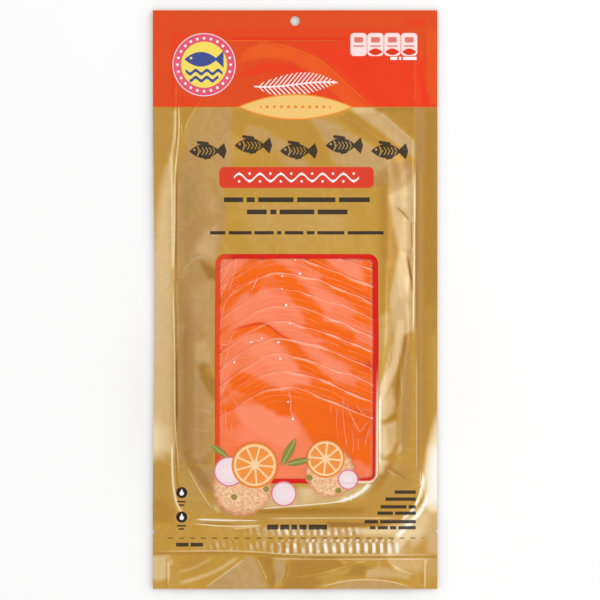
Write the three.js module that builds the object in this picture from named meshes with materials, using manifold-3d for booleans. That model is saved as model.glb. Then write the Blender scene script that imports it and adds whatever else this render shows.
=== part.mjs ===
// Sliced smoked salmon in a heat-sealed foil pouch with a clear window.
// The pouch lies on its back: X across it, Y along it with the hang hole toward +Y, Z up.
// Millimetres. The origin is under the middle of the pouch, on the surface it rests on.

import * as THREE from 'three';
import Module from 'manifold-3d';
import { mergeVertices } from 'three/addons/utils/BufferGeometryUtils.js';

const wasm = await Module();
wasm.setup();

// ---- Driving dimensions ----

const pouchWidth = 178;
const pouchLength = 362;
const filmThickness = 0.5;
// Pieces that touch keep this gap.
const fitGap = 0.3;

// The seals: how far each inner seal line lies from the middle of the pouch.
const leftSealLine = -75.2;
const rightSealLine = 74.2;
const topSealLine = 161.5;
const bottomSealLine = -139;
const bottomSealEnd = -160;
const sealedHeight = 1.0;
const unsealedHeight = 1.3;
const sealEase = 1.5;
const sealBead = 0.7;
const sealBeadWidth = 1.8;

// The open skirt under the bottom seal, whose two leaves stand a little apart.
const skirtHeight = 1.3;
const skirtWave = 0.5;
const skirtWavePitch = 47;
const skirtSeamLeft = -80;
const skirtSeamRight = 81;
const skirtSeamEase = 10;
const skirtMouthInset = 6;
const skirtMouthDrop = 2;

// Hang hole and tear notches.
const hangHoleRadius = 3;
const hangHoleY = 174.3;
const tearNotches = [
  { x: -pouchWidth / 2, y: -145.5, depth: 3, height: 2.4 },
  { x: pouchWidth / 2, y: -144.9, depth: 3.2, height: 2.4 },
];
const leftEdgeBow = 1.2;
const leftEdgeBowLength = 80;

// The clear window in the front film.
const windowWidth = 101.4;
const windowHeight = 142.8;
const windowCentreX = 1.1;
const windowCentreY = -43.1;
const windowCorner = 6;

// The shingled slices: each lies on the one above it, one pitch further down the pouch.
// A slice is as long as a number of pitches, and none reaches past the stack's lower end.
const sliceCount = 12;
const slicePitch = 10.2;
const firstSliceY = 57.9;
const rowsPerSlice = 11;
const endRow = 18;
const stackLeft = -61;
const stackRight = 57;
const endTuck = 13;
const endTuckRows = 5;
const sliceStep = 1.6;
const bluntEdge = 0.5;
const crestShare = 0.3;

// The upper edge of a slice is an arch: highest near the middle, falling to both sides.
const archPeakX = -11;
const archSlopeRight = 0.42;
const archSlopeLeft = 0.75;
const archRound = 11;
const archCrown = 7;

// The film over the stack: its height, and over how many rows it climbs and falls.
const stackHeight = 22.5;
const headStart = 1.6;
const headRows = 7.5;
const tailEnd = 4;
const tailRows = 10;
const shoulderRound = 0.12;
const sideWallRun = 17;
const sideWallShare = 0.74;
const footWallRun = 9;
const footInset = 2;
const cornerTuckLeft = 15;
const cornerTuckRight = 13;
const cornerTuckTop = -95;
const cornerTuckLength = 36;
// The right wall stands further out beside the upper slices than beside the lower ones.
const rightWallOut = 3;
const rightWallIn = 2;
const rightWallTurnTop = -12;
const rightWallTurnLength = 60;

// The tent of film between the stack and the top seal, bounded by a fold on each side.
const tentHeight = 8;
const tentRise = 26;
const tentLength = 95;
const tentTail = 70;
const tentTailEnd = -38;
const tentSideRun = 16;
const tentLeftFoot = [-76, 91];
const tentLeftHead = [-26, 161];
const tentRightFoot = [77, 95];
const tentRightHead = [12, 158];
const bulkBlend = 1.2;

// The round sticker on the header.
const stickerRadius = 19.8;
const stickerX = -56.9;
const stickerY = 146.9;
const stickerThickness = 0.3;

// ---- Small helpers ----

function easeStep(value) {
  const t = Math.min(Math.max(value, 0), 1);
  return t * t * (3 - 2 * t);
}

function softRamp(value, width) {
  return 0.5 * (value + Math.sqrt(value * value + width * width));
}

function softMin(a, b, width) {
  return b - softRamp(b - a, width);
}

function softMax(a, b, width) {
  return a + softRamp(b - a, width);
}

function lerp(a, b, t) {
  return a + (b - a) * t;
}

// Distance from a point to the line through two others, positive on its right-hand side.
function sideOf(x, y, from, to) {
  const dx = to[0] - from[0];
  const dy = to[1] - from[1];
  return ((x - from[0]) * dy - (y - from[1]) * dx) / Math.hypot(dx, dy);
}

// Grid lines from stops: each stop gives a coordinate and the number of cells up to the next.
function gridLines(stops) {
  const lines = [];
  for (let i = 0; i < stops.length - 1; i += 1) {
    const [start, cells] = stops[i];
    const [end] = stops[i + 1];
    for (let c = 0; c < cells; c += 1) {
      lines.push(lerp(start, end, c / cells));
    }
  }
  lines.push(stops[stops.length - 1][0]);
  return lines;
}

// The grid lines between two limits, leaving out those so near a limit that cells would be slivers.
const leastCell = 0.5;

function between(lines, low, high) {
  const inside = lines.filter((v) => v > low + leastCell && v < high - leastCell);
  return [low, ...inside, high];
}

// ---- The shingle layout ----

// How far a slice's upper edge lies below its highest point.
function archFall(x) {
  const right = archSlopeRight * softRamp(x - archPeakX - archCrown, archRound);
  const left = archSlopeLeft * softRamp(archPeakX - archCrown - x, archRound);
  const crown = (archSlopeRight + archSlopeLeft) * softRamp(-archCrown, archRound);
  return crown - right - left;
}

// Rows of the shingle grid are one pitch apart; the arch flattens out below the last slice's edge.
const lastEdgeRow = sliceCount - 1;

function archShare(row) {
  return 1 - Math.max(row - lastEdgeRow, 0) / (endRow - lastEdgeRow);
}

function rowY(x, row) {
  return firstSliceY - slicePitch * row + archFall(x) * archShare(row);
}

function rowAt(x, y) {
  const fall = archFall(x);
  const row = (firstSliceY + fall - y) / slicePitch;
  if (row <= lastEdgeRow) {
    return row;
  }
  const flattening = fall / (endRow - lastEdgeRow);
  return lastEdgeRow + (rowY(x, lastEdgeRow) - y) / (slicePitch + flattening);
}

// ---- The outer front surface of the pouch ----

function slabHeight(x, y) {
  const row = rowAt(x, y);
  const rise = (row + headStart) / headRows;
  const fall = (endRow + tailEnd - row) / tailRows;
  const along = Math.max(softMin(softMin(rise, fall, shoulderRound), 1, shoulderRound), 0);
  const corner = easeStep((cornerTuckTop - y) / cornerTuckLength);
  const turn = easeStep((rightWallTurnTop - y) / rightWallTurnLength);
  const leftWall = stackLeft + cornerTuckLeft * corner;
  const rightWall = stackRight + lerp(rightWallOut, -rightWallIn, turn) - cornerTuckRight * corner;
  const left = easeStep((x - leftWall) / sideWallRun + sideWallShare);
  const right = easeStep((rightWall - x) / sideWallRun + sideWallShare);
  const foot = easeStep((y - bottomSealLine - footInset) / footWallRun);
  return stackHeight * along * left * right * foot;
}

function tentHeightAt(x, y) {
  const left = easeStep(sideOf(x, y, tentLeftFoot, tentLeftHead) / tentRise);
  const right = easeStep(-sideOf(x, y, tentRightFoot, tentRightHead) / tentRise);
  const top = easeStep((topSealLine - y) / tentLength);
  const tail = easeStep((y - tentTailEnd) / tentTail);
  const leftSide = easeStep((x - leftSealLine - footInset) / tentSideRun);
  const rightSide = easeStep((rightSealLine - footInset - x) / tentSideRun);
  return tentHeight * left * right * top * tail * leftSide * rightSide;
}

// A low bead stands along the inner edge of each seal.
function beadHeight(x, y) {
  const dx = Math.max(leftSealLine - x, x - rightSealLine);
  const dy = Math.max(bottomSealLine - y, y - topSealLine);
  const offset = Math.max(dx, dy) / sealBeadWidth;
  return sealBead * Math.exp(-offset * offset);
}

function skirtLift(x, y) {
  const open = easeStep((bottomSealEnd - y) / skirtSeamEase);
  const fromLeft = easeStep((x - skirtSeamLeft) / skirtSeamEase);
  const fromRight = easeStep((skirtSeamRight - x) / skirtSeamEase);
  const wave = skirtWave * Math.sin((2 * Math.PI * x) / skirtWavePitch);
  return open * fromLeft * fromRight * (skirtHeight + wave);
}

function frontZ(x, y) {
  const fromSides = easeStep((x - leftSealLine) / sealEase) * easeStep((rightSealLine - x) / sealEase);
  const fromEnds = easeStep((y - bottomSealLine) / sealEase) * easeStep((topSealLine - y) / sealEase);
  const inside = fromSides * fromEnds;
  const bulk = softMax(slabHeight(x, y), tentHeightAt(x, y), bulkBlend) - bulkBlend / 2;
  const base = lerp(sealedHeight, unsealedHeight, inside);
  return base + Math.max(bulk, 0) * inside + beadHeight(x, y) + skirtLift(x, y);
}

// ---- Solids from height fields and outlines ----

function toManifold(positions, triangles) {
  const geometry = new THREE.BufferGeometry();
  geometry.setAttribute('position', new THREE.Float32BufferAttribute(positions, 3));
  geometry.setIndex(triangles);
  const merged = mergeVertices(geometry, 1e-4);
  const vertProperties = new Float32Array(merged.attributes.position.array);
  const triVerts = new Uint32Array(merged.index.array);
  return new wasm.Manifold(new wasm.Mesh({ numProp: 3, vertProperties, triVerts }));
}

function fromManifold(solid) {
  const mesh = solid.getMesh();
  const geometry = new THREE.BufferGeometry();
  geometry.setAttribute('position', new THREE.BufferAttribute(mesh.vertProperties, 3));
  geometry.setIndex(new THREE.BufferAttribute(mesh.triVerts, 1));
  return geometry;
}

// The vertex numbers round the rim of a grid, anticlockwise seen from above.
function gridRim(columns, rows) {
  const rim = [];
  for (let c = 0; c < columns - 1; c += 1) {
    rim.push(c);
  }
  for (let r = 0; r < rows - 1; r += 1) {
    rim.push(r * columns + columns - 1);
  }
  for (let c = columns - 1; c > 0; c -= 1) {
    rim.push((rows - 1) * columns + c);
  }
  for (let r = rows - 1; r > 0; r -= 1) {
    rim.push(r * columns);
  }
  return rim;
}

// A closed block from two grids of points, given row by row, the upper one above the lower one.
function gridBlock(upper, lower, columns) {
  const rows = upper.length / columns;
  const shift = upper.length;
  const triangles = [];
  for (let r = 0; r < rows - 1; r += 1) {
    for (let c = 0; c < columns - 1; c += 1) {
      const a = r * columns + c;
      const b = a + 1;
      const d = a + columns;
      const e = d + 1;
      triangles.push(a, b, e, a, e, d);
      triangles.push(a + shift, e + shift, b + shift, a + shift, d + shift, e + shift);
    }
  }
  const rim = gridRim(columns, rows);
  rim.forEach((a, i) => {
    const b = rim[(i + 1) % rim.length];
    triangles.push(a + shift, b + shift, b, a + shift, b, a);
  });
  return { positions: [...upper, ...lower].flat(), triangles };
}

// A closed block under a height field, with one flat underside made as a fan.
function fieldOverFlat(xs, ys, heightAt, flatZ, shiftX) {
  const positions = [];
  const triangles = [];
  for (const y of ys) {
    for (const x of xs) {
      positions.push(x + shiftX(x, y), y, heightAt(x, y));
    }
  }
  for (let r = 0; r < ys.length - 1; r += 1) {
    for (let c = 0; c < xs.length - 1; c += 1) {
      const a = r * xs.length + c;
      const d = a + xs.length;
      triangles.push(a, a + 1, d + 1, a, d + 1, d);
    }
  }
  const rim = gridRim(xs.length, ys.length);
  const firstLow = positions.length / 3;
  for (const v of rim) {
    positions.push(positions[3 * v], positions[3 * v + 1], flatZ);
  }
  const middle = positions.length / 3;
  positions.push((xs[0] + xs[xs.length - 1]) / 2, (ys[0] + ys[ys.length - 1]) / 2, flatZ);
  rim.forEach((v, i) => {
    const next = (i + 1) % rim.length;
    triangles.push(firstLow + i, firstLow + next, rim[next], firstLow + i, rim[next], v);
    triangles.push(firstLow + next, firstLow + i, middle);
  });
  return toManifold(positions, triangles);
}

// A closed sheet that follows the front surface, between two offsets from it.
function frontSheet(xs, ys, upperOffset, lowerOffset) {
  const upper = [];
  const lower = [];
  for (const y of ys) {
    for (const x of xs) {
      upper.push([x, y, frontZ(x, y) + upperOffset]);
      lower.push([x, y, frontZ(x, y) + lowerOffset]);
    }
  }
  const { positions, triangles } = gridBlock(upper, lower, xs.length);
  return toManifold(positions, triangles);
}

// An upright prism on an outline, from one height to another.
function prism(shape, lowZ, highZ, curveSegments) {
  const geometry = new THREE.ExtrudeGeometry(shape, {
    depth: highZ - lowZ,
    bevelEnabled: false,
    curveSegments,
  });
  geometry.translate(0, 0, lowZ);
  geometry.deleteAttribute('normal');
  geometry.deleteAttribute('uv');
  const merged = mergeVertices(geometry, 1e-4);
  return toManifold([...merged.attributes.position.array], [...merged.index.array]);
}

function roundedRectangle(centreX, centreY, width, height, radius) {
  const left = centreX - width / 2;
  const right = centreX + width / 2;
  const bottom = centreY - height / 2;
  const top = centreY + height / 2;
  const shape = new THREE.Shape();
  shape.absarc(right - radius, bottom + radius, radius, -Math.PI / 2, 0);
  shape.absarc(right - radius, top - radius, radius, 0, Math.PI / 2);
  shape.absarc(left + radius, top - radius, radius, Math.PI / 2, Math.PI);
  shape.absarc(left + radius, bottom + radius, radius, Math.PI, 1.5 * Math.PI);
  return shape;
}

function circle(centreX, centreY, radius) {
  return new THREE.Shape().absarc(centreX, centreY, radius, 0, 2 * Math.PI);
}

// A tear notch is a narrow V that opens at the side of the pouch.
function notchShape({ x, y, depth, height }) {
  const inward = -Math.sign(x);
  const shape = new THREE.Shape();
  shape.moveTo(x + inward * depth, y);
  shape.lineTo(x - inward * cutterReach, y - height / 2);
  shape.lineTo(x - inward * cutterReach, y + height / 2);
  shape.closePath();
  return shape;
}

// ---- The pouch ----

// What cuts the film runs past the pouch: below it, above its highest point and beyond its edges.
const belowAll = -1;
const aboveAll = 60;
const cutterReach = 1;

// Grid lines lie closer together along the seals and round the stack's walls.
const sealBand = 2;
const wallBand = 3;
const footBand = 5;
const acrossLines = gridLines([
  [-pouchWidth / 2, 3],
  [leftSealLine - sealBand, 2],
  [leftSealLine + sealEase, 4],
  [stackLeft + wallBand, 15],
  [stackRight - wallBand, 4],
  [rightSealLine - sealEase, 2],
  [rightSealLine + sealBand, 3],
  [pouchWidth / 2],
]);
const alongLines = gridLines([
  [-pouchLength / 2, 4],
  [bottomSealEnd, 3],
  [bottomSealLine - sealBand, 2],
  [bottomSealLine + sealEase, 4],
  [rowY(archPeakX, endRow) + footBand, 20],
  [firstSliceY, 11],
  [topSealLine - sealEase, 2],
  [topSealLine + sealBand, 3],
  [pouchLength / 2],
]);

// The left side of the pouch is drawn in a little at mid-length.
function edgeShift(x, y) {
  const reach = easeStep((leftSealLine - x) / (pouchWidth / 2 + leftSealLine));
  return reach * leftEdgeBow * Math.exp(-((y / leftEdgeBowLength) ** 2));
}

function noShift() {
  return 0;
}

function innerZ(x, y) {
  return frontZ(x, y) - filmThickness;
}

// The space between the front and back films, inside the seals.
function makeCavity() {
  return fieldOverFlat(
    between(acrossLines, leftSealLine + fitGap, rightSealLine - fitGap),
    between(alongLines, bottomSealLine + fitGap, topSealLine - fitGap),
    innerZ,
    filmThickness,
    noShift,
  );
}

// The mouth between the skirt's two leaves.
function makeSkirtMouth() {
  return fieldOverFlat(
    between(acrossLines, skirtSeamLeft + skirtMouthInset, skirtSeamRight - skirtMouthInset),
    between(alongLines, -pouchLength / 2 - cutterReach, bottomSealEnd - skirtMouthDrop),
    innerZ,
    filmThickness,
    noShift,
  );
}

function windowOutline(inset) {
  return roundedRectangle(
    windowCentreX,
    windowCentreY,
    windowWidth - 2 * inset,
    windowHeight - 2 * inset,
    windowCorner - inset,
  );
}

function makePouch() {
  const body = fieldOverFlat(acrossLines, alongLines, frontZ, 0, edgeShift);
  const cutters = [
    makeCavity(),
    makeSkirtMouth(),
    prism(windowOutline(0), 2 * filmThickness, aboveAll, 5),
    prism(circle(0, hangHoleY, hangHoleRadius), belowAll, aboveAll, 12),
    ...tearNotches.map((notch) => prism(notchShape(notch), belowAll, aboveAll, 1)),
  ];
  const pouch = cutters.reduce((solid, cutter) => solid.subtract(cutter), body);
  return fromManifold(pouch);
}

// ---- The window film and the sticker ----

function makeWindowFilm() {
  const reachX = windowWidth / 2 + cutterReach;
  const reachY = windowHeight / 2 + cutterReach;
  const xs = between(acrossLines, windowCentreX - reachX, windowCentreX + reachX);
  const ys = between(alongLines, windowCentreY - reachY, windowCentreY + reachY);
  const sheet = frontSheet(xs, ys, 0, -filmThickness);
  const outline = prism(windowOutline(fitGap), belowAll, aboveAll, 5);
  return fromManifold(sheet.intersect(outline));
}

function makeSticker() {
  const reach = stickerRadius + cutterReach;
  const xs = between(acrossLines, stickerX - reach, stickerX + reach);
  const ys = between(alongLines, stickerY - reach, stickerY + reach);
  const sheet = frontSheet(xs, ys, fitGap + stickerThickness, fitGap);
  const disc = prism(circle(stickerX, stickerY, stickerRadius), belowAll, aboveAll, 24);
  return fromManifold(sheet.intersect(disc));
}

// ---- The salmon slices ----

const sliceColumns = 10;
const stackFloor = filmThickness + fitGap;
const filmClearance = 0.4;
const filmReach = 2.5;
const columnCrowding = 0.7;
const tailShare = 0.6;
const tailTaperRows = 2;

// Columns lie closer together towards both sides, where the stack rounds off.
function sliceX(column, row) {
  const even = column / (sliceColumns - 1);
  const crowded = 0.5 - 0.5 * Math.cos(Math.PI * even);
  const across = lerp(even, crowded, columnCrowding);
  const tuck = endTuck * easeStep((row - endRow + endTuckRows) / endTuckRows);
  return lerp(stackLeft + tuck, stackRight - tuck, across);
}

function lastRowOf(slice) {
  return Math.min(slice + rowsPerSlice, endRow);
}

// A slice's share of the stack's thickness on a row: none at its upper edge, less near its tail.
function sliceWeight(slice, row) {
  const head = Math.min(Math.max(row - slice, 0), 1);
  const tail = Math.min((lastRowOf(slice) - row + tailShare) / tailTaperRows, 1);
  return head * tail;
}

function slicesOnRow(row) {
  const slices = [];
  for (let s = 0; s < sliceCount; s += 1) {
    if (row >= s && row <= lastRowOf(s)) {
      slices.push(s);
    }
  }
  return slices;
}

// The highest a slice may reach at a point: clear of the film there and a little way round it.
function roomUnderFilm(x, y) {
  const around = [
    frontZ(x, y),
    frontZ(x - filmReach, y),
    frontZ(x + filmReach, y),
    frontZ(x, y - filmReach),
    frontZ(x, y + filmReach),
  ];
  return Math.min(...around) - filmThickness - filmClearance;
}

// Top of the stack on a row: it dips towards each upper edge, where the next slice begins.
function stackTop(x, row) {
  const dip = row <= lastEdgeRow ? sliceStep : 0;
  return roomUnderFilm(x, rowY(x, row)) - dip;
}

// Underside and top of every slice at one point of the shingle grid.
function layersAt(column, row) {
  const x = sliceX(column, row);
  const slices = slicesOnRow(row);
  const onTop = slices.filter((s) => sliceWeight(s, row) === 0);
  const under = slices.filter((s) => sliceWeight(s, row) > 0);
  const totalWeight = under.reduce((sum, s) => sum + sliceWeight(s, row), 0);
  const room = stackTop(x, row) - stackFloor - fitGap * under.length;
  const layers = {};
  let z = stackFloor;
  for (const s of under) {
    const thickness = Math.max((room * sliceWeight(s, row)) / totalWeight, bluntEdge);
    layers[s] = { low: z, high: z + thickness };
    z += thickness + fitGap;
  }
  for (const s of onTop) {
    layers[s] = { low: z, high: z + bluntEdge };
  }
  return layers;
}

function makeSlice(slice) {
  const upper = [];
  const lower = [];
  const pushRow = (row, pointAt) => {
    for (let c = 0; c < sliceColumns; c += 1) {
      const { x, y, low, high } = pointAt(c, row);
      upper.push([x, y, high]);
      lower.push([x, y, low]);
    }
  };
  const gridPoint = (c, row) => {
    const x = sliceX(c, row);
    return { x, y: rowY(x, row), ...layersAt(c, row)[slice] };
  };
  const crestPoint = (c) => {
    const a = gridPoint(c, slice);
    const b = gridPoint(c, slice + 1);
    const x = lerp(a.x, b.x, crestShare);
    const y = lerp(a.y, b.y, crestShare);
    const low = lerp(a.low, b.low, crestShare);
    const high = Math.max(roomUnderFilm(x, y), low + bluntEdge);
    return { x, y, low, high };
  };
  for (let row = lastRowOf(slice); row > slice; row -= 1) {
    pushRow(row, gridPoint);
  }
  pushRow(slice, crestPoint);
  pushRow(slice, gridPoint);
  const { positions, triangles } = gridBlock(upper, lower, sliceColumns);
  const geometry = new THREE.BufferGeometry();
  geometry.setAttribute('position', new THREE.Float32BufferAttribute(positions, 3));
  geometry.setIndex(triangles);
  return geometry;
}

// ---- The scene graph ----

const pack = new THREE.Group();

function addMesh(name, geometry, color, roughness, metalness) {
  const material = new THREE.MeshStandardMaterial({ color, roughness, metalness });
  const mesh = new THREE.Mesh(geometry, material);
  mesh.name = name;
  pack.add(mesh);
}

addMesh('pouch', makePouch(), 0xc8a55f, 0.3, 0.9);
addMesh('window_film', makeWindowFilm(), 0xf2f2ee, 0.1, 0);
addMesh('round_sticker', makeSticker(), 0xe0506a, 0.4, 0);
for (let s = 0; s < sliceCount; s += 1) {
  const number = String(s + 1).padStart(2, '0');
  addMesh(`salmon_slice_${number}`, makeSlice(s), 0xf08050, 0.45, 0);
}

export default pack;
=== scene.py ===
import math

import bpy
import numpy as np
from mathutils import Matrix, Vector


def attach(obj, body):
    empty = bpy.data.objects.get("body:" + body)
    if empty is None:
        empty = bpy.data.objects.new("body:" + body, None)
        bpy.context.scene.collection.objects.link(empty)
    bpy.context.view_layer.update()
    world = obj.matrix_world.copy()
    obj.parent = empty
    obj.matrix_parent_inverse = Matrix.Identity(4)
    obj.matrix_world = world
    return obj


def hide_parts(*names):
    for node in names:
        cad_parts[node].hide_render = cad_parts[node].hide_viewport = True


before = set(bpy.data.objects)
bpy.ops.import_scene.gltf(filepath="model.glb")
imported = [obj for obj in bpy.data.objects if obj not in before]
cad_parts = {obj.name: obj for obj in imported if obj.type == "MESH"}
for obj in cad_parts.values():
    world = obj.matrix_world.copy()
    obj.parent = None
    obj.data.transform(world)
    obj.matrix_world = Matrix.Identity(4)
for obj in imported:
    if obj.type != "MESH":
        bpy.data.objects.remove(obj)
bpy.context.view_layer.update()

millimetre = 0.001
fullTurn = 2 * math.pi


# shape helpers, all in millimetres and working on whole arrays of points

def easeStep(value):
    t = np.clip(value, 0, 1)
    return t * t * (3 - 2 * t)


def between(value, low, high, ease):
    return easeStep((value - low) / ease) * easeStep((high - value) / ease)


def hump(value, width, power=2):
    return np.exp(-((value / width) ** power))


def softRamp(value, width):
    return 0.5 * (value + np.sqrt(value * value + width * width))


def softMin(a, b, width):
    return b - softRamp(b - a, width)


def softMax(a, b, width):
    return a + softRamp(b - a, width)


def lerp(a, b, t):
    return a + (b - a) * t


def sideOf(x, y, start, end):
    dx, dy = end[0] - start[0], end[1] - start[1]
    return ((x - start[0]) * dy - (y - start[1]) * dx) / math.hypot(dx, dy)


def curve(flat, rounds=2):
    # a row x, y, x, y ... as points, with its corners cut each round so that it bends softly
    points = list(zip(flat[::2], flat[1::2]))
    for _ in range(rounds):
        pieces = [(a, b, share) for a, b in zip(points, points[1:]) for share in (0.25, 0.75)]
        points = [points[0], *((lerp(a[0], b[0], t), lerp(a[1], b[1], t)) for a, b, t in pieces), points[-1]]
    return points


def pathReach(x, y, points):
    # distance to a chain of points, how far along it (0 to 1) the nearest place is, and on which side
    best, along, side = np.full(np.shape(x), 1e9), 0 * x, 0 * x
    lengths = [math.dist(a, b) for a, b in zip(points, points[1:])]
    done = 0.0
    for (ax, ay), (bx, by), length in zip(points, points[1:], lengths):
        dx, dy = (bx - ax) / length, (by - ay) / length
        t = np.clip((x - ax) * dx + (y - ay) * dy, 0, length)
        gap = np.hypot(x - ax - t * dx, y - ay - t * dy)
        closer = gap < best
        best = np.where(closer, gap, best)
        along = np.where(closer, (done + t) / sum(lengths), along)
        side = np.where(closer, (x - ax) * dy - (y - ay) * dx, side)
        done += length
    return best, along, side


def creaseField(x, y, lines):
    # signed distance to the nearest line, its strength there, and how close it is
    best, signed, strength = np.full(np.shape(x), 1e9), 0 * x + 5, 0 * x
    for points, weight in lines:
        gap, along, side = pathReach(x, y, points)
        closer = gap < best
        best = np.where(closer, gap, best)
        signed = np.where(closer, np.where(side < 0, -gap, gap), signed)
        strength = np.where(closer, weight * between(along, 0, 1, 0.16), strength)
    return signed, strength, hump(best, 2.6)


def strokeTone(x, y, lines, fullAt, ends=None):
    # bright and dark strokes laid side by side: the strongest of each kind counts
    most, least = 0 * x, 0 * x
    for path, wide, share, blur in lines:
        gap, along, _ = pathReach(x, y, path)
        full = share * easeStep((lerp(*wide, along) - gap) / blur + fullAt)
        if ends:
            length = sum(map(math.dist, path, path[1:]))
            full = full * between(along * length, 0, length, ends)
        most, least = np.maximum(most, full), np.minimum(least, full)
    return most + least


def waves(x, y, seed, sizes, height):
    # soft uneven relief: a few sine waves of each size in seeded directions
    rng = np.random.default_rng(seed)
    total = 0.0
    for size in sizes:
        for _ in range(3):
            angle, phase = rng.uniform(0, fullTurn, 2)
            turn = fullTurn / (size * rng.uniform(0.8, 1.25))
            total = total + np.sin((x * math.cos(angle) + y * math.sin(angle)) * turn + phase)
    return height * total / (3 * len(sizes))


def gridLines(stops):
    # grid lines from pairs of a place and the number of cells up to the next place
    lines = []
    for (start, cells), (end, _) in zip(stops, stops[1:]):
        lines += [lerp(start, end, c / cells) for c in range(cells)]
    return np.array(lines + [stops[-1][0]])


# the pouch's own form, in millimetres, as its solids have it
pouch = {
    "width": 178, "leftSeal": -75.2, "rightSeal": 74.2, "topSeal": 161.5,
    "bottomSeal": -139, "bottomSealEnd": -160, "sealed": 1.0, "unsealed": 1.3, "sealEase": 1.5,
    "skirtLift": 1.3, "skirtWave": 0.5, "skirtPitch": 47, "skirtLeft": -80, "skirtRight": 81, "skirtEase": 10,
    "holeRadius": 3, "holeY": 174.3, "holeSides": 40,
    "notchY": (-145.5, -144.9), "notchDepth": (3, 3.2), "notchHalf": 1.4, "notchOut": 0.6, "notchMore": 0.4,
    "edgeBow": 1.2, "edgeBowLength": 80, "gauge": 0.34, "bulkBlend": 1.2, "bulkSink": 0.6,
    "roomReach": 2.5, "roomGap": 0.9,
}
window = {"width": 101.4, "height": 142.8, "x": 1.1, "y": -43.1, "corner": 6, "cornerFaces": 10}
stack = {
    "count": 12, "pitch": 10.2, "firstY": 57.9, "rows": 11, "endRow": 18, "left": -61, "right": 57,
    "endTuck": 13, "endTuckRows": 5, "step": 0.9, "peakX": -11, "slopeRight": 0.42,
    "slopeLeft": 0.75, "round": 11, "crown": 7, "height": 22.5, "floor": 0.8,
    "tuckLeft": 15, "tuckRight": 13, "tuckTop": -95, "tuckLength": 36,
    "wallOut": 3, "wallIn": 2, "wallTurn": -12, "wallTurnLength": 60, "wallRun": 17, "wallShare": 0.74,
    "headRows": 1.6, "headRun": 7.5, "footRows": 4, "footRun": 10, "soft": 0.12, "sealGap": 2, "sealRun": 9,
}
tent = {
    "height": 8, "rise": 26, "length": 95, "tail": 70, "tailEnd": -38, "side": 16, "sideGap": 2,
    "leftFoot": (-76, 91), "leftHead": (-26, 161), "rightFoot": (77, 95), "rightHead": (12, 158),
}
lastEdge = stack["count"] - 1


def archFall(x):
    crown, bend = stack["crown"], stack["round"]
    right = stack["slopeRight"] * softRamp(x - stack["peakX"] - crown, bend)
    left = stack["slopeLeft"] * softRamp(stack["peakX"] - crown - x, bend)
    return (stack["slopeRight"] + stack["slopeLeft"]) * softRamp(-crown, bend) - right - left


def rowY(x, row):
    share = 1 - np.maximum(row - lastEdge, 0) / (stack["endRow"] - lastEdge)
    return stack["firstY"] - stack["pitch"] * row + archFall(x) * share


def rowAt(x, y):
    fall = archFall(x)
    row = (stack["firstY"] + fall - y) / stack["pitch"]
    flattening = fall / (stack["endRow"] - lastEdge)
    late = lastEdge + (rowY(x, lastEdge) - y) / (stack["pitch"] + flattening)
    return np.where(row <= lastEdge, row, late)


def topSlice(row):
    # which slice lies on top, how many rows past its edge, and how far the stack dips there
    top = np.minimum(np.floor(row), lastEdge)
    part = row - top
    return top, part, np.where(part <= 1, part, np.clip(2 - part, 0, 1)) * stack["step"]


def slabHeight(x, y):
    row = rowAt(x, y)
    rise = (row + stack["headRows"]) / stack["headRun"]
    fall = (stack["endRow"] + stack["footRows"] - row) / stack["footRun"]
    along = np.maximum(softMin(softMin(rise, fall, stack["soft"]), 1, stack["soft"]), 0)
    corner = easeStep((stack["tuckTop"] - y) / stack["tuckLength"])
    turn = easeStep((stack["wallTurn"] - y) / stack["wallTurnLength"])
    leftWall = stack["left"] + stack["tuckLeft"] * corner
    rightWall = stack["right"] + lerp(stack["wallOut"], -stack["wallIn"], turn) - stack["tuckRight"] * corner
    depths = (x - leftWall, rightWall - x)
    left, right = (easeStep(depth / stack["wallRun"] + stack["wallShare"]) for depth in depths)
    foot = easeStep((y - pouch["bottomSeal"] - stack["sealGap"]) / stack["sealRun"])
    return stack["height"] * along * left * right * foot


def tentHeightAt(x, y):
    left = easeStep(sideOf(x, y, tent["leftFoot"], tent["leftHead"]) / tent["rise"])
    right = easeStep(-sideOf(x, y, tent["rightFoot"], tent["rightHead"]) / tent["rise"])
    top = easeStep((pouch["topSeal"] - y) / tent["length"])
    tail = easeStep((y - tent["tailEnd"]) / tent["tail"])
    gap = tent["sideGap"]
    across = between(x, pouch["leftSeal"] + gap, pouch["rightSeal"] - gap, tent["side"])
    return tent["height"] * left * right * top * tail * across


def insideSeals(x, y):
    ease = pouch["sealEase"]
    across = between(x, pouch["leftSeal"], pouch["rightSeal"], ease)
    return across * between(y, pouch["bottomSeal"], pouch["topSeal"], ease)


def skirtLiftAt(x, y):
    ease = pouch["skirtEase"]
    across = between(x, pouch["skirtLeft"], pouch["skirtRight"], ease)
    rise = easeStep((pouch["bottomSealEnd"] - y) / ease) * across
    return rise * (pouch["skirtLift"] + pouch["skirtWave"] * np.sin(fullTurn * x / pouch["skirtPitch"]))


def plainFrontZ(x, y):
    inside = insideSeals(x, y)
    bulk = softMax(slabHeight(x, y), tentHeightAt(x, y), pouch["bulkBlend"]) - pouch["bulkSink"]
    return lerp(pouch["sealed"], pouch["unsealed"], inside) + np.maximum(bulk, 0) * inside + skirtLiftAt(x, y)


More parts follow.
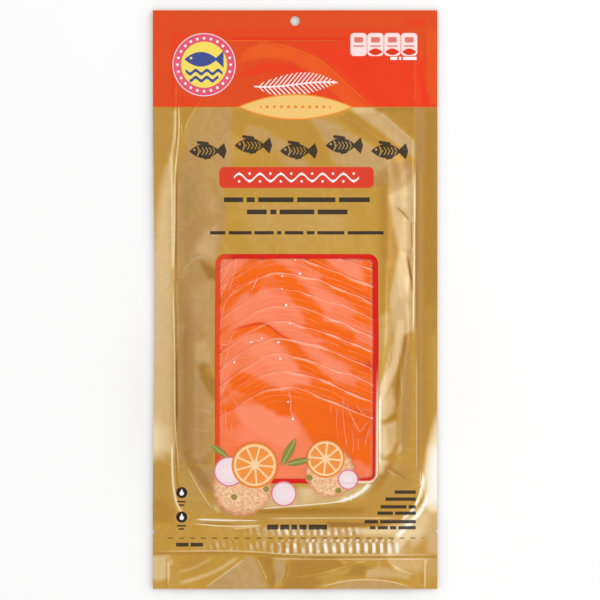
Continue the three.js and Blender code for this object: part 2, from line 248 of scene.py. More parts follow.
# folds and wrinkles pressed into the front film: height, half width, how each end fades, then x, y, x, y ...
folds = [
    # the tent's two long folds below the header
    (0.55, 1.5, 0.25, -74.5, 82.5, -72.5, 100, -67.5, 113.5, -58, 125, -42, 142.5, -23, 160),
    (0.75, 1.4, 0.2, 9, 157.5, 19.5, 148.5, 32.5, 134, 45, 123, 59.5, 112.5, 73, 98),
    (-0.5, 2.6, 0.25, -36.5, 137.5, -29.5, 143, -20.5, 146, -5.5, 146.5, 6.5, 143, 17, 135, 27, 122.5, 42,
     108.5, 58, 98.5),
    (-0.55, 4.2, 0.3, -39, 111.5, -20.5, 113.5, -3, 109, 17, 96.5, 38, 84, 57, 70.5),
    (0.5, 5, 0.35, 25.5, 117.5, 44.5, 100, 60.5, 82.5, 72, 67.5),
    # creases down the right wall and the left wall
    (-0.7, 1.1, 0.4, 63, 58.5, 68, 53.5, 72.5, 48),
    (-0.8, 1.2, 0.4, 68, 28.5, 70, 19.5, 73, 8),
    (0.6, 2.4, 0.4, 65, -0.5, 67.5, -14, 67, -31.5, 63, -53),
    (0.35, 3, 0.4, 57, 37, 55.5, -0.5, 58, -38, 55, -69),
    (-0.7, 1.6, 0.5, -57.5, 23.5, -54.5, 19, -49.5, 14.5),
    (-0.7, 1.6, 0.5, -60, -40.5, -56.5, -53, -50.5, -63.5),
    (0.4, 3.2, 0.4, -71.5, 2, -65.5, -11.5, -68, -28, -64.5, -45.5),
    (0.45, 3, 0.4, -72, -65.5, -67.5, -81.5, -69.5, -98),
    (0.35, 3.5, 0.4, -62, 65, -65.5, 46, -62, 31),
    # where the stack's foot draws the film down
    (0.5, 1.6, 0.3, -68, -103.5, -62, -116.5, -55, -127.5, -49.5, -133.5),
    (0.7, 1.7, 0.2, -40.5, -133, -14.5, -130, 10.5, -129, 29.5, -126, 41.5, -121.5, 52, -111, 57, -102.5),
    (-0.5, 1.4, 0.4, 57, -104, 65.5, -113, 72.5, -118.5),
    (0.7, 1.3, 0.3, 78, -116.5, 74, -130.5, 68, -145),
    (0.6, 1, 0.25, -71.5, -106.5, -72, -125.5, -65.5, -135.5, -55.5, -138.5),
    # the two ridges over the bottom seal, and the one under it
    (0.5, 0.75, 0.15, -65.5, -137.5, -40.5, -139, -15.5, -138, 3, -139, 40.5, -137.5, 65.5, -138.5),
    (0.45, 0.7, 0.25, -62, -141, -42, -142, -20.5, -141, -3, -142.5),
    (0.55, 0.8, 0.03, -93, -160, -59.5, -159, -22, -160, 22, -159, 65.5, -160, 92.5, -159),
    (0.4, 0.7, 0.2, -12.5, -161, 15.5, -161.5, 48, -161, 65.5, -161.5),
    # the skirt's folds
    (0.9, 1.9, 0.2, -24.5, -160.5, -20.5, -168, -17, -178),
    (0.7, 1.7, 0.25, -7, -161.5, -4.5, -169, -9.5, -178),
    (-0.6, 1.8, 0.3, -15.5, -164, -12, -171, -14.5, -177.5),
    (0.6, 2.2, 0.3, -78, -175.5, -59.5, -172, -42, -167, -32.5, -161.5),
    (0.7, 2, 0.25, 3, -173, 24.5, -169, 35.5, -164, 48, -165.5, 64.5, -170.5, 77, -173),
    (0.5, 1.8, 0.2, 17, -179.5, 35.5, -175.5, 55.5, -177.5, 78, -180),
    (0.4, 0.8, 0.1, -78, -160.5, -77.5, -170.5, -79, -180.5),
    (0.4, 0.8, 0.1, 82, -160.5, 80.5, -170.5, 81.5, -180.5),
]
folds = [(high, wide, fade, curve(line)) for high, wide, fade, *line in folds]


def foldRelief(x, y):
    total = 0 * x
    for high, wide, fade, path in folds:
        gap, along, _ = pathReach(x, y, path)
        total = total + high * between(along, 0, 1, fade) * hump(gap, wide)
    return total


# thin crisp creases drawn by the material, each a bump with a painted line: tone, a painted highlight above
# nought and a painted shade below, then x, y, x, y ...
sharpCreases = [
    # header and tent
    (0.35, -45.7, 165.5, -20.6, 165.2, 15.6, 165.5, 34.4, 164.9),
    (1.3, -48.2, 162.1, -3.1, 161.9, 34.4, 162.2),
    (0.6, -20.6, 161.1, -3.1, 158, 11.9, 152.4, 20.6, 146.1, 31.9, 134.8, 49.4, 119.8),
    (0.2, 51.3, 117.9, 62.6, 108.9, 75.1, 98.5),
    (0.4, -57.6, 126.1, -62.6, 119.2, -67, 112.3, -69.1, 104.8),
    (-0.5, -36.3, 141.7, -26.3, 145.5, -15.6, 147.7, -2.5, 146.1, 6.3, 141.7, 10.6, 137.3),
    (0.16, 28.2, 116.1, 44.4, 106.7, 60.7, 95.4),
    (0.5, 74.8, 156.1, 75.1, 120.4),
    # left seal
    (0.9, -72.8, 133.6, -73, 121.1, -72.2, 108.6, -73.5, 93.5, -75.1, 82.3, -75.3, 56, -75.6, 37.2, -76,
     16),
    (0.25, -74.2, 16, -73.8, -0.3, -73, -27.8),
    (0.9, -76.1, 14.7, -76.3, -0.3, -75.6, -19.1, -75.1, -37.8, -75.3, -62.9, -74.8, -81.6, -73.5, -95.4,
     -72.8, -116.7),
    (-0.6, -74.1, 79.8, -74.3, 37.2, -74.7, 18.5),
    (-0.5, -74.1, -32.8, -73.8, -62.9, -73.5, -82.9),
    (-0.5, -73.8, 131.1, -74, 112.3, -74.5, 94.8),
    (0.2, -70.1, 17.2, -65.7, 23.5, -60.7, 26.6, -55.7, 26),
    (0.3, -55.7, -41.6, -53.8, -45.4, -50.7, -49.7),
    (0.5, -67.6, -104.2, -63.2, -112.9, -58.2, -121.7, -51.3, -131.7),
    (0.16, -69.4, -70.4, -61.9, -68.2, -55.7, -68.5, -51.3, -71),
    (0.14, -67, -82.9, -60.1, -79.8, -52.6, -82.3),
    (-0.22, -71.3, -96.7, -64.4, -99.2, -56.9, -101.7, -51.3, -102.3),
    # right bead and wall
    (1, 74.8, 86, 74.6, 31, 74.1, -0.3, 74, -27.8),
    (-0.55, 76.2, 93.5, 76, 31, 75.6, -25.3),
    (0.5, 76, -31.6, 76, -69.1, 76.3, -114.2),
    (-0.6, 63.2, 57.9, 67, 54.8, 71.3, 49.7),
    (-0.7, 70.1, 28.5, 71.3, 21, 73.2, 10.3),
    (0.4, 68.2, -21.6, 65.7, -39.1, 67, -61.6),
    (-0.5, 72.6, 49.7, 73.2, 31),
    (1.1, 52.6, -59.8, 51.9, -97.3, 50.1, -109.2, 44.4, -117.3, 34.4, -124.8, 20.6, -127, 0.6, -128.6,
     -20.6, -130.5, -36.9, -132.3),
    (1.2, 80.3, -106.7, 79.2, -117.9, 75.7, -128, 71.3, -134.2, 65.7, -139.2),
    (1.1, 83.1, -120.4, 81.6, -126.7, 78.2, -132.6, 72.6, -139.2, 67, -144.8, 62.6, -150.5),
    (-0.5, 58.2, -104.2, 64.4, -108.6, 70.7, -112.9),
    (0.35, 56.9, -106.1, 63.2, -110.4),
    # bottom seal
    (0.7, -77, -87.9, -76.6, -119.2, -72, -133, -65.7, -137.3),
    (1.3, -63.2, -137.5, -45.7, -138.1, -21.9, -138.3),
    (0.7, -20.6, -137, 21.9, -136.7, 68.2, -136.7),
    (1, -65.1, -140.2, -41.9, -142.2, -19.4, -141.1),
    (0.6, -39.4, -143.6, -29.4, -142.7, -20.6, -141.7),
    (0.5, -92, -157.7, -40.7, -157.2, -20.6, -158, -9.4, -159.2, 15.6, -159.9, 90.7, -159.6),
    (0.6, -20.6, -162.1, 15.6, -162.6, 48.2, -162.4, 90.7, -162.4),
    # skirt
    (0.6, -24.4, -161.1, -20.6, -168, -16.9, -176.8),
    (-0.5, -5.6, -164.2, -5, -170.5, -8.1, -177.4),
    (0.45, -56.9, -180.5, -44.4, -171.8, -30.7, -161.7),
    (0.35, -4.4, -174.3, 15.6, -171.8, 35.7, -165.5, 48.2, -163),
    (0.6, 14.4, -179.9, 34.4, -175.2, 55.7, -175.2, 73.2, -179.9),
    (0.4, 57.6, -163, 64.4, -169.2, 75.1, -172.4),
    (-0.5, -80.5, -160.5, -80.5, -181.8),
    (0.5, -79.2, -163, -78.8, -171.8, -79.5, -179.3),
    (0.7, 81.3, -160.5, 81.3, -181.8),
]
sharpCreases = [(curve(line), strength) for strength, *line in sharpCreases]


def sealRidges(x, y):
    # the left seal stands as a thin ridge with a groove inside it, the right one as a rounded bead
    sway = 0.5 * np.sin(y / 23) + 0.35 * np.sin(y / 9.5 + 1)
    left = x - pouch["leftSeal"] - 0.4 * sway + 1.6 * hump(y - 17, 7)
    ridge = 0.5 * hump(left, 0.8) - 0.35 * hump(left - 1.9, 0.8)
    bead = 0.3 * hump(x - 75, 2.2) + 0.55 * hump(y - 37, 62, 4) * hump(x - 73.3 - 0.5 * sway, 0.7)
    stepDown = 0.3 * easeStep((x - 77.6) / 0.8)
    top = 0.4 * hump(y - 161.9, 0.8) + 0.45 * hump(y - 165.6, 0.8)
    return between(y, -137, 159, 6) * (ridge + bead - stepDown) + top * between(x, -72, 73, 8)


# uneven relief of the front film: seed, wave lengths, height
uneven = {"soft": (4, (52, 34), 0.5), "small": (11, (17, 11), 0.16), "margin": (7, (46, 27), 0.12)}


def foilZ(x, y):
    plain, inside = plainFrontZ(x, y), insideSeals(x, y)
    bulge = easeStep((plain - pouch["unsealed"]) / 6)
    soft = waves(x, y, *uneven["soft"]) * inside * (0.4 + 0.6 * bulge)
    small = waves(x, y * 0.7, *uneven["small"]) * inside
    margin = waves(x, y, *uneven["margin"]) * (1 - inside)
    curl = 0.5 * easeStep((-77 - x) / 12) ** 2 + 0.35 * easeStep((x - 79) / 10) ** 2
    return plain + foldRelief(x, y) + sealRidges(x, y) + soft + small + margin + curl


def roomUnderFilm(x, y):
    # the lowest film within a short reach, less a gap
    reach = pouch["roomReach"]
    steps = ((0, 0), (-reach, 0), (reach, 0), (0, -reach), (0, reach))
    return np.minimum.reduce([plainFrontZ(x + dx, y + dy) for dx, dy in steps]) - pouch["roomGap"]


# making meshes

def setMode(mode):
    bpy.ops.object.mode_set(mode=mode)


def clearSelection():
    if bpy.context.object and bpy.context.object.mode != "OBJECT":
        setMode("OBJECT")
    bpy.ops.object.select_all(action="DESELECT")


def chooseOnly(piece):
    clearSelection()
    piece.select_set(True)
    bpy.context.view_layer.objects.active = piece


def applyTransform():
    bpy.ops.object.transform_apply(location=True, rotation=True, scale=True)


def makeSheet(name, columns, rows):
    # a closed sheet of grid cells one unit apart, with an upper and a lower side
    clearSelection()
    middle = (columns / 2, rows / 2, 0)
    bpy.ops.mesh.primitive_grid_add(x_subdivisions=columns, y_subdivisions=rows, size=1, location=middle)
    piece = bpy.context.object
    piece.name = piece.data.name = name
    bpy.ops.transform.resize(value=(columns, rows, 1))
    applyTransform()
    setMode("EDIT")
    bpy.ops.mesh.select_all(action="SELECT")
    bpy.ops.mesh.extrude_region_move(TRANSFORM_OT_translate={"value": (0, 0, 1)})
    bpy.ops.mesh.select_all(action="SELECT")
    bpy.ops.mesh.normals_make_consistent(inside=False)
    setMode("OBJECT")
    flat = np.zeros(len(piece.data.vertices) * 3, np.float32)
    piece.data.vertices.foreach_get("co", flat)
    column, row = np.rint(flat.reshape(-1, 3)[:, :2]).astype(int).T
    return piece, column, row, flat[2::3] > 0.5


def placePoints(piece, x, y, z):
    points = np.stack([x, y, z], axis=1) * millimetre
    piece.data.vertices.foreach_set("co", points.astype(np.float32).ravel())
    piece.data.update()


def storeValues(piece, name, a, b, c):
    layer = piece.data.attributes.new(name, "FLOAT_VECTOR", "POINT")
    layer.data.foreach_set("vector", np.stack([a, b, c], axis=1).astype(np.float32).ravel())


def smoothShade(piece, degrees):
    chooseOnly(piece)
    bpy.ops.object.shade_smooth_by_angle(angle=math.radians(degrees))


def windowCutter():
    # a tall block with rounded upright edges
    tall, middle = 0.065, 0.0275
    place = (window["x"] * millimetre, window["y"] * millimetre, middle)
    clearSelection()
    bpy.ops.mesh.primitive_cube_add(size=1, location=place)
    cutter = bpy.context.object
    bpy.ops.transform.resize(value=(window["width"] * millimetre, window["height"] * millimetre, tall))
    applyTransform()
    setMode("EDIT")
    bpy.ops.mesh.select_all(action="DESELECT")
    setMode("OBJECT")
    points = cutter.data.vertices
    for edge in cutter.data.edges:
        a, b = (points[i].co for i in edge.vertices)
        edge.select = abs(a.z - b.z) > 0.5 * tall
    setMode("EDIT")
    bpy.ops.mesh.select_mode(type="EDGE")
    bpy.ops.mesh.bevel(offset=window["corner"] * millimetre, segments=window["cornerFaces"])
    setMode("OBJECT")
    return cutter


def prismCutter(sides, centreX, centreY, radiusX, radiusY, degrees):
    clearSelection()
    bpy.ops.mesh.primitive_cylinder_add(vertices=sides, radius=1, depth=0.08, location=(0, 0, 0.02))
    bpy.ops.transform.rotate(value=math.radians(degrees), orient_axis="Z", center_override=(0, 0, 0))
    bpy.ops.transform.resize(value=(radiusX * millimetre, radiusY * millimetre, 1))
    bpy.ops.transform.translate(value=(centreX * millimetre, centreY * millimetre, 0))
    applyTransform()
    return bpy.context.object


def cutWith(piece, cutter):
    chooseOnly(piece)
    cut = piece.modifiers.new("cut", "BOOLEAN")
    cut.operation, cut.solver, cut.object = "DIFFERENCE", "MANIFOLD", cutter
    bpy.ops.object.modifier_apply(modifier=cut.name)
    bpy.data.objects.remove(cutter, do_unlink=True)
    piece.data.materials.clear()


def makePouchSheet(name, acrossStops, alongStops):
    # a sheet as large as the pouch, whose left edge bows inward along the middle
    across, along = gridLines(acrossStops), gridLines(alongStops)
    piece, column, row, upper = makeSheet(name, len(across) - 1, len(along) - 1)
    x, y = across[column], along[row]
    reach = easeStep((pouch["leftSeal"] - x) / (pouch["width"] / 2 + pouch["leftSeal"]))
    return piece, x, y, x + reach * pouch["edgeBow"] * hump(y, pouch["edgeBowLength"]), upper


def cutOutline(piece):
    # the two tear notches and the hang hole
    for side, middle, depth in zip((-1, 1), pouch["notchY"], pouch["notchDepth"]):
        x, long = side * (pouch["width"] / 2 + pouch["notchOut"]), depth + pouch["notchMore"]
        cutWith(piece, prismCutter(3, x, middle, long, pouch["notchHalf"], 90 * side))
    radius = pouch["holeRadius"]
    cutWith(piece, prismCutter(pouch["holeSides"], 0, pouch["holeY"], radius, radius, 0))


# materials: sockets that can be added and multiplied like numbers

def toLinear(red, green, blue):
    parts = [c / 255 for c in (red, green, blue)]
    return tuple(c / 12.92 if c <= 0.04045 else ((c + 0.055) / 1.055) ** 2.4 for c in parts) + (1.0,)


def tints(**colours):
    return {name: toLinear(*colour) for name, colour in colours.items()}


def overload(operation, swapped=False):
    def apply(self, other=0.0):
        return self.paint.math(operation, *((other, self) if swapped else (self, other)))
    return apply


class Signal:
    def __init__(self, paint, socket):
        self.paint, self.socket = paint, socket

    __add__ = __radd__ = overload("ADD")
    __sub__, __rsub__ = overload("SUBTRACT"), overload("SUBTRACT", True)
    __mul__ = __rmul__ = overload("MULTIPLY")
    __truediv__, __rtruediv__ = overload("DIVIDE"), overload("DIVIDE", True)
    __pow__, __abs__ = overload("POWER"), overload("ABSOLUTE")


class Paint:
    def __init__(self, name):
        self.material = bpy.data.materials.new(name)
        self.material.use_nodes = True
        self.tree = self.material.node_tree
        self.tree.nodes.clear()
        self.output = self.tree.nodes.new("ShaderNodeOutputMaterial")
        place = self.node("TexCoord", {}, {}, "Object")
        self.point = self.node("VectorMath", {"operation": "SCALE"}, {0: place, "Scale": 1 / millimetre})
        self.x, self.y, _ = self.apart(self.point)
        self.flat = self.vector("MULTIPLY", self.point, (1, 1, 0))

    def node(self, kind, settings, values, output=0):
        made = self.tree.nodes.new("ShaderNode" + kind)
        stops = settings.pop("stops", None)
        for key, value in settings.items():
            setattr(made, key, value)
        if stops:
            ramp = made.color_ramp
            ramp.interpolation, places = stops
            while len(ramp.elements) < len(places):
                ramp.elements.new(0.5)
            for element, (position, colour) in zip(ramp.elements, places):
                element.position, element.color = position, colour
        for key, value in values.items():
            if isinstance(value, Signal):
                self.tree.links.new(value.socket, made.inputs[key])
            else:
                made.inputs[key].default_value = value
        return Signal(self, made.outputs[output])

    def math(self, operation, a, b=0.0, c=0.0, clamp=False):
        return self.node("Math", {"operation": operation, "use_clamp": clamp}, {0: a, 1: b, 2: c})

    def vector(self, operation, a, b=(0, 0, 0)):
        output = "Value" if operation in ("LENGTH", "DISTANCE") else "Vector"
        return self.node("VectorMath", {"operation": operation}, {0: a, 1: b}, output)

    def least(self, a, b):
        return self.math("MINIMUM", a, b)

    def most(self, a, b):
        return self.math("MAXIMUM", a, b)

    def length(self, a, b):
        return self.math("SQRT", a * a + b * b)

    def tiled(self, value, half):
        return self.math("WRAP", value, half, -half)

    def inside(self, distance, blur=0.3):
        # 1 where the distance is below nought, fading over the blur
        return self.math("MULTIPLY_ADD", distance, -1 / blur, 0.5, clamp=True)

    def ease(self, value, low, high):
        ends = {1: low, 2: high, 3: 0.0, 4: 1.0}
        return self.node("MapRange", {"interpolation_type": "SMOOTHSTEP"}, {0: value, **ends})

    def blend(self, share, a, b):
        return self.node("Mix", {"data_type": "RGBA"}, {0: share, 6: a, 7: b}, 2)

    def layers(self, colour, *coats):
        for share, tint in coats:
            colour = self.blend(share, colour, tint)
        return colour

    def noise(self, size, detail, roughness, stretch=None):
        place = self.vector("MULTIPLY", self.point, stretch) if stretch else self.point
        values = {"Vector": place, "Scale": 1 / size, "Detail": detail, "Roughness": roughness}
        return self.node("TexNoise", {}, values)

    def apart(self, vector):
        made = self.node("SeparateXYZ", {}, {0: vector}).socket.node
        return [Signal(self, made.outputs[i]) for i in range(3)]

    def stored(self, name):
        return self.apart(self.node("Attribute", {"attribute_name": name}, {}, "Vector"))

    def joined(self, x, y):
        return self.node("CombineXYZ", {}, {0: x, 1: y, 2: 0.0})

    def offset(self, centre):
        return self.x - centre[0], self.y - centre[1]

    def polar(self, centre):
        dx, dy = self.offset(centre)
        return dx, dy, self.length(dx, dy), self.math("ARCTAN2", dy, dx)

    def disc(self, centre, radius):
        return self.vector("DISTANCE", self.flat, (*centre, 0)) - radius

    def slab(self, centre, size, corner, where=None):
        # distance to a box, rounded at its corners
        away = self.vector("ABSOLUTE", self.vector("SUBTRACT", where or self.flat, (*centre, 0)))
        away = self.vector("SUBTRACT", away, (size[0] / 2 - corner, size[1] / 2 - corner, 0))
        return self.vector("LENGTH", self.vector("MAXIMUM", away, (0, 0, 0))) - corner

    def bars(self, rows, blur=0.3):
        # rows of bars: middle, height, left and right end, word lengths, gap; a ramp marks the bars
        full = 0.0
        for middle, height, *line in rows:
            spans = wordSpans(*line)
            start = spans[0][0] - 1
            reach = spans[-1][1] + 1 - start
            places = [(0.0, (0, 0, 0, 1))]
            for span in spans:
                places += [((edge - start) / reach, (on, on, on, 1)) for edge, on in zip(span, (1, 0))]
            along = (self.x - start) * (1 / reach)
            ramp = self.node("ValToRGB", {"stops": ("CONSTANT", places)}, {0: along})
            full = self.most(full, self.inside(abs(self.y - middle) - height / 2, blur) * ramp)
        return full

    def bump(self, strength, height):
        return self.node("Bump", {}, {"Strength": strength, "Distance": millimetre, "Height": height})

    def surface(self, colour, roughness, more):
        return self.node("BsdfPrincipled", {}, {"Base Color": colour, "Roughness": roughness, **more})

    def finish(self, shader):
        self.tree.links.new(shader.socket, self.output.inputs["Surface"])
        return self.material


def wordSpans(left, right, words, gap):
    # word lengths that share a line's width
    room = right - left - gap * (len(words) - 1)
    spans, at = [], left
    for word in words:
        spans.append((round(at, 2), round(at + room * word / sum(words), 2)))
        at = spans[-1][1] + gap
    return spans


def fishShape(paint, dx, dy, body, tail):
    # body: middle, half length, half height; tail: start, half height at the root, length, slant of its end
    middle, half, tall = body
    start, root, length, slant = tail
    along, tailX = (dx - middle) * (1 / half), dx - start
    fin = paint.most(abs(dy) - root - tailX * 0.95, paint.most(tailX - length + abs(dy) * slant, -1 * tailX))
    return paint.least(abs(dy) - (1 - along * along) * tall, fin)


# front film: gold laminate with the printed header, title and lower panel

# the pale gold, the flare and the deep gold stand mostly for painted highlight, painted reflection and
# painted shade, and the dull gold for a painted greyish sheen
foil = {
    **tints(
        gold=(197, 147, 40), dullGold=(186, 142, 76), paleGold=(243, 217, 166), flare=(255, 252, 240),
        deepGold=(146, 93, 10), header=(226, 74, 18), headerDeep=(240, 54, 16), headerPale=(243, 100, 20),
        headerDark=(246, 40, 8), charcoal=(30, 25, 24), red=(222, 54, 20), white=(252, 246, 244),
        cream=(244, 200, 116), orange=(240, 140, 40), tabPink=(252, 226, 222),
    ),
    "roughness": 0.42, "metal": 0.4, "headerEdge": 120.1, "lowerEdge": 33.9,
}
